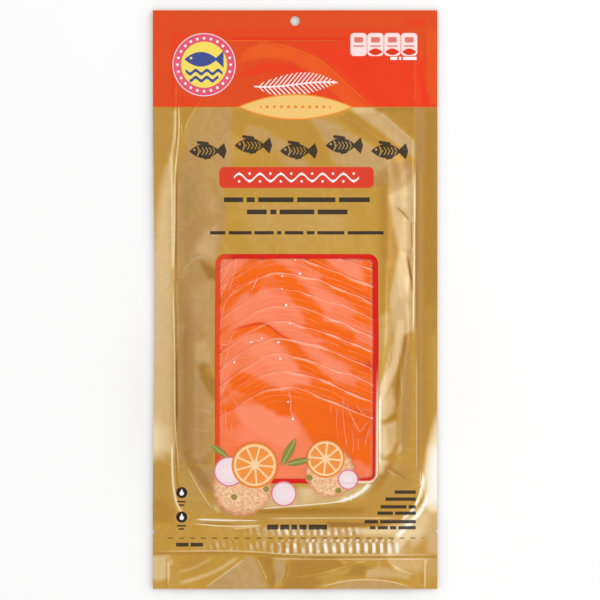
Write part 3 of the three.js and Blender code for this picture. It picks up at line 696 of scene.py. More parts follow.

# painted light on the film between its folds, each area laid over the ones before: tone (painted highlight
# above nought, painted shade below), greyness (a painted dull sheen), blur, then the outline
lightAndShadePlanes = [
    # left margin
    (-0.1, 0.25, 9, -91, 122, -76, 122, -76, 94, -81, 82, -86, 62, -91, 34),
    (0.5, 0.55, 8, -78, 89, -82, 78, -86, 59, -89, 37, -92, 25, -92, -92, -76, -95, -76, 0),
    (0.8, 0.3, 14, -92, -73, -86, -77, -79, -84, -79, -93, -84, -99, -92, -102),
    (1, 0, 9, -91, -78, -86, -82, -84, -92, -91, -94),
    (-0.1, 0.3, 11, -92, -105, -86, -102, -79, -109, -78, -125, -92, -125),
    (-0.36, 0, 6, -92, -125, -81, -124, -74, -133, -78, -140, -92, -139),
    (0, 0.1, 6, -92, -141, -74, -141, -59, -144, -59, -159, -92, -159),
    # left wall
    (0, 1, 7, -73, 86, -68, 94, -56, 94, -49, 75, -43, 62, -44, 43, -49, 28, -51, 23, -51, -97, -56, -102,
     -68, -104, -72, -100, -74, 0),
    (-0.14, 1, 6, -71, 67, -66, 69, -64, 58, -68, 51, -71, 54),
    (-0.12, 1, 6, -71, 42, -59, 52, -54, 50, -62, 38, -69, 23),
    (-0.22, 0.8, 6, -74, 12, -69, 10, -68, -13, -73, -15),
    (-0.22, 0.8, 5, -72, -23, -66, -19, -69, -32, -72, -40),
    (0.14, 0.9, 8, -57, 71, -48, 69, -48, 54, -54, 54),
    (0.2, 1, 5, -56, 43, -48, 47, -49, 25, -57, 27, -63, 30),
    (0.1, 0.85, 7, -66, 8, -51, 12, -51, -28, -57, -19, -64, -12),
    (0.2, 0.85, 5, -63, -27, -54, -24, -51, -38, -54, -40, -62, -37),
    (-0.16, 1, 9, -73, -65, -58, -67, -56, -87, -63, -94, -73, -88),
    (-0.75, 0, 2.2, -59, 24.5, -53, 21.5, -48, 19, -48, 12, -54, 13, -57.5, 18),
    (-0.62, 0, 2.2, -60.5, -41, -56.5, -39.5, -54, -40.5, -53, -44.5, -48, -50.5, -48, -64, -54.5, -57, -58,
     -49.5),
    (-0.4, 0.4, 2.4, -69.5, -95, -64.5, -93, -65, -95.5, -69.5, -97.5),
    (-0.3, 0.6, 3.5, -59, -99, -51, -94, -51, -102, -58, -103),
    (0.02, 0.3, 2.5, -71.5, -103, -67.5, -105, -59.5, -120.5, -51.5, -133, -59.5, -136, -68, -132.5, -71.5,
     -119),
    (0, 1, 3, -66, -105, -51, -103, -44, -113, -56, -121, -58, -120),
    # tent
    (-0.25, 0, 2, -72.5, 122.5, -60, 122.5, -65.5, 113.5, -69.5, 105, -71.5, 98.5, -72.5, 102.5),
    (0.03, 0.75, 4, -59, 122, -41, 122, -39, 114, -41, 101, -39, 87, -46, 62, -56, 69, -68, 87, -69, 101,
     -65, 113),
    (-0.16, 0, 3, -39, 117, -31, 121, -27, 114, -9, 114, 7, 114, 14, 104, 19, 94, 22, 82, 11, 84, 1, 94, -9,
     101, -21, 108, -31, 110, -34, 102, -40, 106),
    (0.1, 0.65, 4.5, -29, 109, -21, 107, -8, 100, 2, 92, 11, 81, -3, 80, -19, 99, -32, 101),
    (0.14, 0.85, 3, 8, 115, 26, 110, 42, 99, 58, 89, 63, 84, 56, 77, 48, 71, 36, 76, 24, 87, 16, 104),
    (-0.3, 0, 1.8, 27, 113.5, 34.5, 118.5, 48, 108.5, 67, 93.5, 62, 91.5, 42, 100.5),
    (0.26, 0.9, 1.6, 34.5, 122.5, 48, 122.5, 59.5, 113, 75, 98.5, 75, 88.5, 68, 93.5, 49.5, 108.5, 37,
     117.5),
    (-0.28, 0, 1.8, 50.5, 122.5, 75, 122.5, 75, 100, 63, 110),
    (0.08, 0.12, 16, -34, 58, 3, 58, 34, 54, 28, 42, -28, 40),
    # right wall, strip and margin
    (-0.12, 1, 4, 48, 75, 59, 85, 71, 87, 73, 71, 58, 69, 49, 71),
    (0.1, 1, 6, 58, 67, 62, 74, 67, 81, 73, 85, 74, 64, 58, 64),
    (-0.34, 0, 4, 53, 77, 58, 71, 61, 45, 64, 30, 61, 20, 58, 0, 56, -10, 53, -10),
    (0.12, 0.3, 4, 53, -10, 57, -7, 61, -12, 58, -28, 53, -32),
    (0.46, 1, 3.6, 58, 65, 64, 68, 71, 72, 74, 77, 74, -19, 69, -22, 66, -32, 62, -25, 60, -8, 59, 2, 63,
     20, 65, 30, 62, 45),
    (0.12, 1, 4, 66, 32, 72, 31, 72, 23, 68, 23),
    (0.72, 0.7, 4, 66, 32, 71, 27, 73, 10, 68, 0, 64, 2, 64, 20),
    (0.9, 0.5, 2.6, 64, -13, 68, -13, 68, -29, 65.5, -39, 58, -56.5, 52.5, -65.5, 52.5, -54, 60, -38),
    (-0.06, 0.7, 3, 68, -22, 71, -25, 73, -75, 69, -97, 64, -97, 66, -75, 64, -63, 63, -53, 65, -39),
    (-0.5, 0.2, 1.8, 68, -23, 70, -21.5, 70, -29, 67, -39, 66, -48, 66, -58, 64.5, -66.5, 62, -65.5, 63.5,
     -50.5, 65.5, -36.5),
    (0.75, 0.6, 4, 53, -63, 60, -55, 63, -64, 61, -70, 57, -75, 53, -74),
    (0.8, 0.6, 3.5, 54, -78, 63, -76, 63, -88, 60, -95, 56, -98, 53, -94),
    (0.6, 0.6, 3, 57, -80, 63, -79, 61, -90, 58, -93),
    (-0.2, 0.3, 2, 55.5, -75.5, 63, -71, 64, -73.5, 58, -76),
    (0.85, 0.1, 2.6, 52, -99, 58, -101, 55.5, -109, 50, -108.5),
    (-0.06, 0.35, 5, 56, -104, 74, -102, 74, -117, 64, -125, 51, -125, 53, -113),
    (-0.29, 1, 1.2, 75.5, 150, 80.5, 150, 80.5, 84, 79, 78, 79, -88, 77.5, -106.5, 76, -113, 76, 62.5),
    (-0.42, 0, 2.2, 81, 122.5, 90.5, 122.5, 90.5, -71.5, 84.5, -78, 80, -106.5, 80, 77.5, 81, 83.5),
    (-0.2, 0.15, 8, 81, -7, 92, 6, 92, -75, 84, -82, 80, -107, 80, -19),
    (0.02, 0.15, 7, 84, -25, 92, -17, 92, -72, 86, -77),
    (1.25, 0, 7, 92, -67, 87, -79, 83, -94, 81, -113, 81, -129, 84, -134, 92, -134),
    (1.95, 0, 8, 85, -94, 92, -90, 92, -127, 83, -128, 83, -110),
    (0.35, 0.4, 6, 82, -134, 92, -134, 92, -159, 83, -159),
    (0.85, 0, 3.5, 66, -140, 74, -134, 79, -128, 81, -132, 74, -143, 64, -147),
    (0.72, 0.1, 6, 56, -152, 66, -149, 73, -144, 79, -133, 84, -135, 82, -146, 73, -156, 64, -160, 56,
     -160),
    # foot of the stack and bottom seal
    (0.36, 0.5, 2.4, -45.5, -128.5, -20.5, -121.5, 3, -118, 49.5, -115.5, 45.5, -120, 35.5, -125, 20.5,
     -126.5, 0.5, -128.5, -20.5, -130.5, -37, -132.5),
    (0.55, 0.2, 4, 3, -117, 11, -117, 12, -125, 5, -127),
    (-0.08, 0.1, 4, -51, -134, -28, -133, 22, -129, 48, -124, 72, -125, 66, -136, -47, -137),
    (-0.7, 0, 1.6, 19.5, -139, 68, -140, 65.5, -143, 22, -142.5),
    (0.22, 0.3, 3, -21, -143, 36, -143, 36, -148, -21, -148),
    (0.85, 0.1, 5, 36, -144, 72, -139, 78, -144, 67, -149, 44, -148),
    (0.14, 0.2, 9, 3, -150, 72, -149, 77, -158, 3, -159),
    (0.92, 0.1, 4, 59, -155, 65, -149, 73, -144, 76, -145, 69, -152, 65, -158, 59, -160),
    # skirt
    (0.5, 0.4, 4, -92, -160, -79, -160, -79, -174, -86, -176, -92, -174),
    (0.1, 1, 1.6, -55.5, -180.5, -44.5, -171, -30.5, -161.5, -25.5, -161.5, -20.5, -172, -16.5, -182),
    (-0.15, 0.2, 5, -72, -164, -59, -160, -51, -164, -57, -170, -69, -173),
    (-0.5, 0, 1.8, -24.5, -161, -14, -161, -14, -167, -11.5, -175.5, -15, -182, -18, -175.5),
    (0.1, 1, 1.6, -12.5, -163, -7.5, -161.5, -5.5, -168, -8, -175.5, -12, -178, -13, -170.5),
    (-0.44, 0, 4, -4, -163, 22, -161, 36, -164, 48, -168, 67, -174, 22, -173, 11, -182, -9, -182, -4, -172),
    (0, 0.2, 4, 13, -174, 23, -169, 36, -167, 33, -172, 19, -176),
    (0.1, 0.8, 2, 14.5, -183, 34.5, -176, 55.5, -176, 72, -180, 78, -183),
    (0.32, 0.35, 3, 44, -169, 52, -167, 61, -169, 72, -172, 71, -175, 59, -174, 44, -174),
    (0.3, 0.1, 6, 58, -162, 66, -160, 81, -160, 81, -170, 68, -170, 62, -167),
    (0.16, 0.3, 4, 82, -160, 92, -160, 92, -173, 82, -174),
    # header
    (-0.5, 0, 1.6, -15.5, 161, 17, 151.5, 31.5, 141, 52, 117.5, 74.5, 117.5, 74.5, 162.5, 34.5, 163.5,
     -20.5, 163),
    (0.5, 0, 3.4, -21, 161, -3, 158, 12, 152, 21, 146, 32, 135, 51, 117, 37, 117, 23, 130, 11, 140, -2, 149,
     -19, 151, -36, 148, -31, 157),
    (-0.55, 0, 1.6, -38, 139, -30, 143.5, -18, 147.5, -3, 146, 7, 143, 13, 136, 4.5, 137.5, -5.5, 141, -17,
     142.5, -28, 139),
    (-0.5, 0, 3, -78, 166, -74, 169, -68, 166, -72, 149, -73, 135, -74, 119, -78, 119, -78, 150),
    (-0.45, 0, 2.6, -62, 168.5, -34.5, 170.5, 65.5, 170.5, 75.5, 167, 65.5, 162.5, -40.5, 162.5, -55.5,
     165),
    (-0.5, 0, 5, 67, 177, 83, 177, 82, 169, 68, 170),
    (-0.7, 0, 2.4, 77, 156, 80.5, 143.5, 84.5, 121, 80, 121, 77.5, 137.5),
    (0.4, 0, 3, 82, 169, 91, 169, 91, 122, 85, 122, 82, 140),
    (-0.3, 0, 8, -91, 182, -74, 182, -77, 170, -87, 150, -91, 150),
    (-0.45, 0, 2, -72.5, 128.5, -59, 127.5, -62.5, 120.5, -72, 120.5),
    (0.12, 0, 3, -57, 127, -39, 130, -34, 120, -61, 120),
]
# painted highlights and painted shade along broad folds, laid on top: half width at each end, tone, blur,
# then the line
foldHighlightsAndShade = [
    (1, 0.8, 0.6, 1, -75, 122.5, -75, 103, -77.5, 90, -77, 76, -76.5, 37, -76.5, 17),
    (0.8, 0.8, 0.6, 1, -77, -90.5, -77, -106.5, -75.5, -124, -72, -133, -65.5, -137.5),
    (0.7, 0.7, -0.4, 1.2, -74, 84, -74.5, 37, -75, -0.5, -74, -28, -74, -78),
    (0.9, 0.7, -0.4, 1, -74.5, -88, -74, -106.5, -73, -125.5),
    (0.6, 1, -0.6, 1.2, 63, 58, 67, 55, 70.5, 50),
    (1, 0.7, -0.7, 1.2, 70, 28.5, 71.5, 21, 73, 12, 73, 3.5),
    (1.4, 1.2, -0.2, 2.2, 65.5, 9.5, 69.5, 2, 73, -8),
    (0.8, 0.9, 1.6, 1, 53, -58, 52, -78.5, 52.5, -97.5, 50, -109, 44.5, -117.5, 35.5, -123.5, 25.5, -126),
    (0.7, 0.7, 0.4, 1.4, 61.5, -25.5, 57, -40.5, 54, -53),
    (1.3, 0.9, 0.45, 1.4, 66.5, -88, 65, -95.5, 63, -98),
    (0.7, 0.9, 1.3, 0.8, 81, -109, 80, -118, 77, -126.5, 72.5, -133.5, 65.5, -139),
    (0.8, 1.5, 1.2, 1, 83, -121, 81.5, -127.5, 78.5, -133, 73, -139, 67, -145, 62, -151),
    (0.8, 0.8, -0.6, 0.8, 82.5, -110.5, 82, -118, 80, -125.5, 75, -132.5),
    (0.9, 1.1, 0.8, 1.4, -52, -126.5, -47.5, -133, -44.5, -131.5),
    (0.8, 0.7, 0.6, 1, -45.5, -133.5, -35.5, -132.5),
    (0.7, 0.7, 0.55, 0.9, -63, -137.5, -45.5, -138, -35.5, -138.5),
    (0.7, 0.7, -0.45, 1, -62, -139.5, -49.5, -140, -37, -140.5),
    (0.7, 0.7, -0.4, 1, -92, -159, -40.5, -158.5, -20.5, -159.5, -9.5, -160.5, 15.5, -161.5, 92, -161),
    (0.9, 0.9, 1.4, 1, -20, -154, -19, -151, -16.5, -150.5),
    (0.9, 0.7, 1.3, 1, -19, -158.5, -20, -155.5),
    (0.9, 0.7, 1.2, 1, -77, -161, -77.5, -167.5),
    (1.2, 0.8, 0.42, 1.6, -74.5, -178, -54.5, -172.5, -42, -165.5, -34.5, -160),
    (1.2, 0.9, 0.35, 1.6, -74.5, -170.5, -65.5, -169, -55.5, -164, -50.5, -160.5),
    (1, 0.9, 0.7, 1.6, 27, -161, 30.5, -165.5, 35.5, -164),
    (0.9, 0.9, 0.5, 1.6, 51.5, -161.5, 53, -169),
    (0.8, 0.8, 0.9, 1.2, 79, -177, 82, -180.5),
    (1.2, 1.2, 0.6, 2.4, 59.5, -164, 64.5, -169, 68, -167),
    (0.9, 0.9, 0.8, 1, -74.5, 135, -75, 121),
    (0.7, 0.7, -0.8, 1, -42, 163, -3, 162.5, 34.5, 163),
    (0.7, 0.7, 0.5, 1.2, 78, 160, 80, 143.5, 84.5, 125),
]
foldHighlightsAndShade = [(curve(line), (start, end), share, blur) for start, end, share, blur, *line in foldHighlightsAndShade]


def outlineMask(x, y, points, blur):
    # 1 inside a closed outline, fading over the blur across it
    within = np.zeros(np.shape(x), bool)
    for (ax, ay), (bx, by) in zip(points, points[1:] + points[:1]):
        crosses = (ay > y) != (by > y)
        within ^= crosses & (x < ax + (bx - ax) * (y - ay) / (by - ay if by != ay else 1))
    gap = pathReach(x, y, points + points[:1])[0]
    return easeStep(0.5 + np.where(within, gap, -gap) / blur)


def paintedLightAndShade(x, y):
    # painted highlight and painted shade as one tone, and a painted greyish sheen, laid area by area and then
    # along the broad folds
    tone, sheenLevel = 0 * x, 0 * x
    for level, sheenShare, blur, *outline in lightAndShadePlanes:
        mask = outlineMask(x, y, curve(outline, 0), blur)
        tone, sheenLevel = lerp(tone, level, mask), lerp(sheenLevel, sheenShare, mask)
    return tone + strokeTone(x, y, foldHighlightsAndShade, 0.5, 6), sheenLevel


frontFilm, x, y, bowedX, upper = makePouchSheet(
    "frontFilm", [(-89, 8), (-78, 13), (-71.5, 97), (70, 14), (77.5, 8), (89, 0)],
    [(-181, 22), (-161.5, 10), (-157, 12), (-143, 16), (-135.5, 118), (foil["lowerEdge"], 61),
     (foil["headerEdge"], 28), (160.5, 13), (167, 9), (181, 0)])
placePoints(frontFilm, bowedX, y, foilZ(x, y) - np.where(upper, 0, pouch["gauge"]))
# painted light and shade on the film's points: the light level and the painted greyish sheen
storeValues(frontFilm, "tone", *paintedLightAndShade(x, y), 0 * x)
storeValues(frontFilm, "fold", *creaseField(x, y, sharpCreases))
cutOutline(frontFilm)
cutWith(frontFilm, windowCutter())
print("front film", len(frontFilm.data.polygons))


def foldCrest(paint, outer, inner):
    # how strongly the nearest crease shows, from its outer half width in to its inner one; it gives both the
    # painted highlight and shade lines and the bump
    gap, strength, close = paint.stored("fold")
    return paint.ease(abs(gap), outer, inner) * paint.ease(close, 0.45, 0.75) * strength


def foilGround(name):
    paint = Paint(name)
    tone, paintedSheen, _ = paint.stored("tone")
    drift = paint.noise(42, 2, 0.5) - 0.5
    rings = paint.math("SINE", (paint.noise(30, 2, 0.45) * 9 + paint.y * 0.02) * fullTurn)
    # the light level: painted highlight above nought and painted shade below, from the painted areas, folds
    # and crease lines, with random drift and a faint swirl pattern
    level = tone + drift * 0.26 + foldCrest(paint, 0.7, 0.15) + paint.ease(rings, -0.2, 0.9) * 0.05
    # the gold with a painted greyish sheen, a painted highlight, a painted reflection where brightest, and
    # painted shade
    gold = paint.layers(
        foil["gold"], (paintedSheen, foil["dullGold"]),
        (paint.math("MULTIPLY", level, 1, clamp=True), foil["paleGold"]),
        (paint.math("SUBTRACT", level, 1, clamp=True), foil["flare"]),
        (paint.math("MULTIPLY", level, -1, clamp=True), foil["deepGold"]))
    return paint, gold, level


def foilFinish(paint, colour, ink, relief, coat=0.8):
    # fine rolled grain and small crumples under the print
    grain = paint.noise(0.9, 2, 0.6, stretch=(0.35, 1.6, 1))
    crumple = paint.noise(9, 3, 0.45)
    height = grain * 0.035 + crumple * 0.35 + foldCrest(paint, 0.95, 0.0) * 0.42 + relief
    worn = paint.noise(3, 2, 0.5) - 0.5
    return paint.finish(paint.surface(colour, worn * 0.12 + foil["roughness"] + ink * 0.1, {
        "Metallic": foil["metal"] * (1 - ink), "Normal": paint.bump(0.55, height), "Specular IOR Level": 0.1,
        "Coat Weight": ink * (-0.7 * coat) + coat, "Coat Roughness": 0.24, "Coat IOR": 1.5,
    }))


plaque = {"at": (0.3, 120.4), "halfWidth": 36.5, "halfHeight": 8.2, "beadPitch": 4.4, "beadReach": 22}
sprig = {"at": (0.5, 134.5), "size": 26}


def addPlaque(paint, colour, ink):
    # a pointed oval with an orange rim and a row of beads
    dx, dy = paint.offset(plaque["at"])
    shape = (dx * (1 / plaque["halfWidth"])) ** 2 + abs(dy) * (1 / plaque["halfHeight"]) - 1
    full = paint.inside(shape, 0.04)
    beads = paint.inside(paint.length(paint.tiled(dx, plaque["beadPitch"] / 2), dy) - 0.95)
    beads = beads * paint.inside(abs(dx) - plaque["beadReach"], 0.1)
    colour = paint.layers(
        colour, (full, foil["orange"]), (paint.inside(shape + 0.1, 0.05), foil["cream"]),
        (beads, foil["orange"]))
    return colour, paint.most(ink, full * 0.8)


def addSprig(paint, colour, ink):
    # a feathery herb sprig: a bowed stem with slanting leaflets on both sides
    size = sprig["size"]
    dx, dy = paint.offset(sprig["at"])
    bow = dy - paint.math("SINE", dx * (2.2 / size)) * (size * 0.06)
    reach = (1 - (dx * (1 / size)) ** 2) * (size * 0.28)
    slanted = paint.tiled(dx - abs(bow) * 0.9, size * 0.055)
    leaf = paint.most(abs(slanted) - size * 0.018, abs(bow) - reach)
    stem = paint.most(abs(bow) - size * 0.016, abs(dx) - size)
    mask = paint.inside(paint.least(paint.most(leaf, abs(dx) - size * 0.93), stem), 0.35)
    return paint.blend(mask, colour, foil["white"]), paint.most(ink, mask)


tabs = {"left": 34.5, "pitch": 10.55, "width": 10.2, "height": 14.4, "y": 159.6}


def headerMaterial():
    paint, _, level = foilGround("headerFoil")
    deep = paint.ease(paint.x + paint.noise(30, 1, 0.5) * 24, -30, 40) * paint.ease(paint.y, 160, 150) * 0.5
    edge = foil["headerEdge"]
    # painted light on the red header: the pale red is a painted highlight and the dark red painted shade,
    # from the film's light level; the deep red grows towards the upper right
    colour = paint.layers(
        foil["header"], (deep, foil["headerDeep"]), (paint.ease(level, 0.05, 0.9), foil["headerPale"]),
        (paint.ease(-1 * level, 0.1, 0.9) * 0.85, foil["headerDark"]),
        (paint.ease(paint.y, edge + 0.65, edge + 0.3) * 0.75, foil["gold"]))
    # four tabs: white cards with red bars, and a red lens at the foot of all but the first
    pitch = tabs["pitch"]
    local = paint.math("WRAP", paint.x - tabs["left"], pitch, 0) - pitch / 2
    place = paint.joined(local, paint.y - tabs["y"])
    row = paint.inside(abs(paint.x - tabs["left"] - 2 * pitch) - 2 * pitch, 0.1)
    card = paint.inside(paint.slab((0, 0), (tabs["width"], tabs["height"]), 2.4, place)) * row
    marks = paint.inside(paint.slab((0, 2.9), (5.6, 3.4), 0.8, place), 0.4)
    marks = paint.most(marks, paint.inside(paint.slab((0, -1), (6.6, 0.9), 0.4, place), 0.4))
    lens = paint.inside((local * (1 / 4.4)) ** 2 + abs(paint.y - tabs["y"] + 4.6) * (1 / 2.1) - 1, 0.15)
    lens = lens * paint.inside(tabs["left"] + pitch - paint.x, 0.1)
    marks = paint.most(marks * 0.8, lens)
    small = paint.bars([(150.9, 1.9, 59.6, 76, (3, 1, 6), 1.1)], 0.4)
    colour = paint.layers(
        colour, (card, foil["tabPink"]), (marks * card, foil["red"]), (small, foil["white"]))
    colour, ink = addSprig(paint, colour, paint.most(paint.most(card, small), 0.42))
    colour, ink = addPlaque(paint, colour, ink)
    return foilFinish(paint, colour, ink, 0.0, 0.4)


# a row of small fish, every other one a little lower, over a lozenge and three rows of bars
shoal = {"left": -69, "pitch": 28.4, "count": 5, "y": 94.4, "drop": 3.4, "half": 9.6, "tall": 4.6}
lozenge = {"at": (0.9, 76.1), "size": (96.4, 13.2), "corner": 3.2, "wave": 13, "crest": 2.2, "reach": 39}


def titleMaterial():
    paint, colour, _ = foilGround("titleFoil")
    far = (paint.x - shoal["left"]) * (1 / shoal["pitch"])
    step = paint.math("FLOOR", far)
    dx = (far - step) * shoal["pitch"] - shoal["pitch"] / 2 + 1.8
    dy = paint.y - shoal["y"] - (paint.math("FLOORED_MODULO", step, 2) - 0.5) * shoal["drop"]
    fish = fishShape(paint, dx, dy, (0, shoal["half"], shoal["tall"]), (shoal["half"] * 0.8, 0.7, 6.2, 0.3))
    back = paint.slab((-1, 5), (7.6, 2), 0.9, paint.joined(dx, dy + dx * 0.14))
    belly = paint.slab((2, -4.6), (4.4, 1.8), 0.8, paint.joined(dx, dy + dx * -0.2))
    row = paint.inside(abs(far - shoal["count"] / 2) - shoal["count"] / 2, 0.02)
    eye = paint.inside(paint.length(dx + 6.3, dy - 0.9) - 0.7)
    gill = paint.inside(abs(paint.length(dx + 7.6, dy) - 4.2) - 0.35) * paint.inside(-4.6 - dx)
    ribs = paint.inside(abs(paint.tiled(dx + abs(dy) * 0.6, 1.1)) - 0.28)
    ribs = ribs * paint.inside(abs(dx - 2) - 4.6) * paint.inside(abs(dy) - 2.4)
    mask = paint.inside(paint.least(fish, paint.least(back, belly)), 0.35) * row
    mask = mask * (1 - eye) * (1 - gill) * (1 - ribs)
    # the red lozenge has a white wave between beads
    plate = paint.inside(paint.slab(lozenge["at"], lozenge["size"], lozenge["corner"]))
    bandX, bandY = paint.offset(lozenge["at"])
    crest = paint.math("SINE", bandX * (fullTurn / lozenge["wave"])) * lozenge["crest"]
    quarter = lozenge["wave"] / 4
    beads = paint.length(paint.tiled(bandX - quarter, quarter), abs(bandY) - 2.4) - 0.75
    white = paint.most(paint.inside(abs(bandY - crest) - 0.65, 0.35), paint.inside(beads, 0.35))
    white = white * paint.inside(abs(bandX) - lozenge["reach"])
    lines = paint.bars([
        (62.2, 3.0, -44.4, 46.3, (4, 1.6, 7.4, 8, 6.4), 2.2), (54.6, 3.0, -30, 32.5, (4, 1.2, 7, 6), 2.2),
        (41.6, 2.1, -53.2, 55.1, (4, 6, 5, 1.2, 5, 2, 7, 9.4), 1.9),
    ])
    colour = paint.layers(
        colour, (mask * 0.93, foil["charcoal"]), (plate, foil["red"]), (white, foil["white"]),
        (lines * 0.95, foil["charcoal"]))
    ink = paint.most(paint.most(mask, lines) * 0.85, paint.most(plate * 0.5, white))
    colour, ink = addPlaque(paint, colour, ink)
    return foilFinish(paint, colour, ink, 0.0)


# a garnish of citrus wheels, radish slices and leaves on crackers, printed over the window's lower corner
garnish = tints(
    rind=(240, 134, 44), pith=(252, 214, 164), flesh=(248, 158, 74), ring=(240, 206, 212),
    ringEdge=(222, 120, 136), tan=(230, 164, 124), white=(246, 226, 228), toast=(204, 120, 74),
    leaf=(134, 142, 58), round=(150, 138, 62),
)


def wheel(paint, centre, radius, spokes):
    _, _, far, angle = paint.polar(centre)
    spoke = abs(paint.math("SINE", angle * (spokes / 2) + 0.4)) * far * (2 / spokes)
    segments = paint.inside(far - radius * 0.8, 0.4) * paint.inside(0.55 - spoke, 0.4)
    segments = segments * paint.inside(1.3 - far, 0.4)
    juicy = paint.blend(paint.noise(2.2, 3, 0.6), garnish["flesh"], garnish["rind"])
    pithy = paint.inside(far - radius * 0.9)
    tint = paint.layers(garnish["rind"], (pithy, garnish["pith"]), (segments, juicy))
    return tint, paint.inside(far - radius)


def leaf(paint, centre, size, degrees):
    turned = {0: paint.flat, "Location": (*centre, 0), "Rotation": (0, 0, math.radians(degrees))}
    u, v, _ = paint.apart(paint.node("Mapping", {"vector_type": "TEXTURE"}, turned))
    vein = paint.inside(abs(v) - 0.14, 0.2) * 0.7
    body = paint.inside(abs(v) - (1 - (u * (1 / size[0])) ** 2) * size[1])
    return paint.blend(vein, garnish["leaf"], garnish["pith"]), body


def cracker(paint, centre, radius):
    # a round cracker with a wavy toasted rim and small holes
    dx, dy, far, angle = paint.polar(centre)
    edge = far - radius + paint.math("SINE", angle * 18) * 0.45
    grain = paint.blend(paint.ease(paint.noise(1.5, 3, 0.65), 0.3, 0.7), garnish["tan"], garnish["pith"])
    holes = paint.inside(paint.length(paint.tiled(dx, 2.4), paint.tiled(dy, 2.4)) - 0.5, 0.4)
    holes = holes * paint.inside(far - radius * 0.8, 0.5)
    rim = paint.ease(edge, -3.2, 0) * 0.7
    tint = paint.layers(grain, (rim, garnish["toast"]), (holes * 0.8, garnish["toast"]))
    return tint, paint.inside(edge, 0.35)


def radish(paint, centre, radius):
    # near white with a pink skin
    far = paint.disc(centre, radius)
    flesh = paint.blend(paint.ease(far, -radius, 0) * 0.5, garnish["white"], garnish["ring"])
    return paint.blend(paint.inside(-0.9 - far), flesh, garnish["ringEdge"]), paint.inside(far)


def caper(paint, centre):
    return garnish["round"], paint.inside(paint.disc(centre, 1.9))


motifs = [
    (cracker, (-33, -117), 18.5), (cracker, (22, -108), 15.5), (radish, (-41, -107), 9.5),
    (radish, (-7, -121), 8), (wheel, (-25, -103), 14.5, 9), (wheel, (19, -99), 12, 8),
    (radish, (33, -112), 6.5), (leaf, (-4, -95), (10, 2.6), 62), (leaf, (2, -101), (8, 2.2), 12),
    (leaf, (-47, -94), (7.5, 2), -38), (caper, (-18, -118)), (caper, (-38, -123)), (caper, (9, -111)),
    (caper, (27, -119)),
]


def addGarnish(paint, colour):
    full = 0.0
    for draw, *settings in motifs:
        tint, body = draw(paint, *settings)
        colour, full = paint.blend(body, colour, tint), paint.most(full, body)
    return colour, full


# rows of the crimp, a painted glint on each tooth: middle, half height, pitch, lean, start, fade, end, gain
# to the right, glint strength, relief
crimp = [
    (-145.2, 3.2, 4.45, 0.25, -38, 30, 42, 0.001, 0.76, 0.5),
    (-155.4, 4.2, 4.9, 0.12, -26, 22, 68, 0.003, 0.92, 0.7),
    (-150.9, 1.3, 3.9, -0.5, -20, 24, 66, 0.002, 0.6, 0.2),
    (-154, 4, 4.2, 0.3, -66, 20, -16, 0.001, 0.3, 0.3),
]
# small print as bars: middle, height, left and right end, word lengths, gap
smallPrint = [
    (-128.6, 1.0, -72.8, -69.2, (1,), 1), (-141.6, 1.0, -74, -68.2, (1,), 1),
    (-143.6, 1.0, -72.8, -69.4, (1,), 1), (-120.5, 2.1, 62.4, 75.5, (1,), 1),
    (-124.9, 2.1, 56.5, 75.5, (1,), 1), (-129.7, 2.1, 53.5, 75.5, (5, 1.4), 1.3),
    (-133.7, 2.1, 51.5, 75.5, (3, 4), 1.3), (-139, 2.1, 43.5, 75.5, (3, 8), 1.3),
    (-142.8, 2.1, 46.8, 75.5, (1.4, 2.6, 1.6, 4.4), 1.3),
    (-142.4, 3.2, -17.5, 20, (3, 2.4, 1.6, 2, 5), 1.3), (-153.4, 2.4, -74.5, -57.6, (4, 4), 1.2),
]


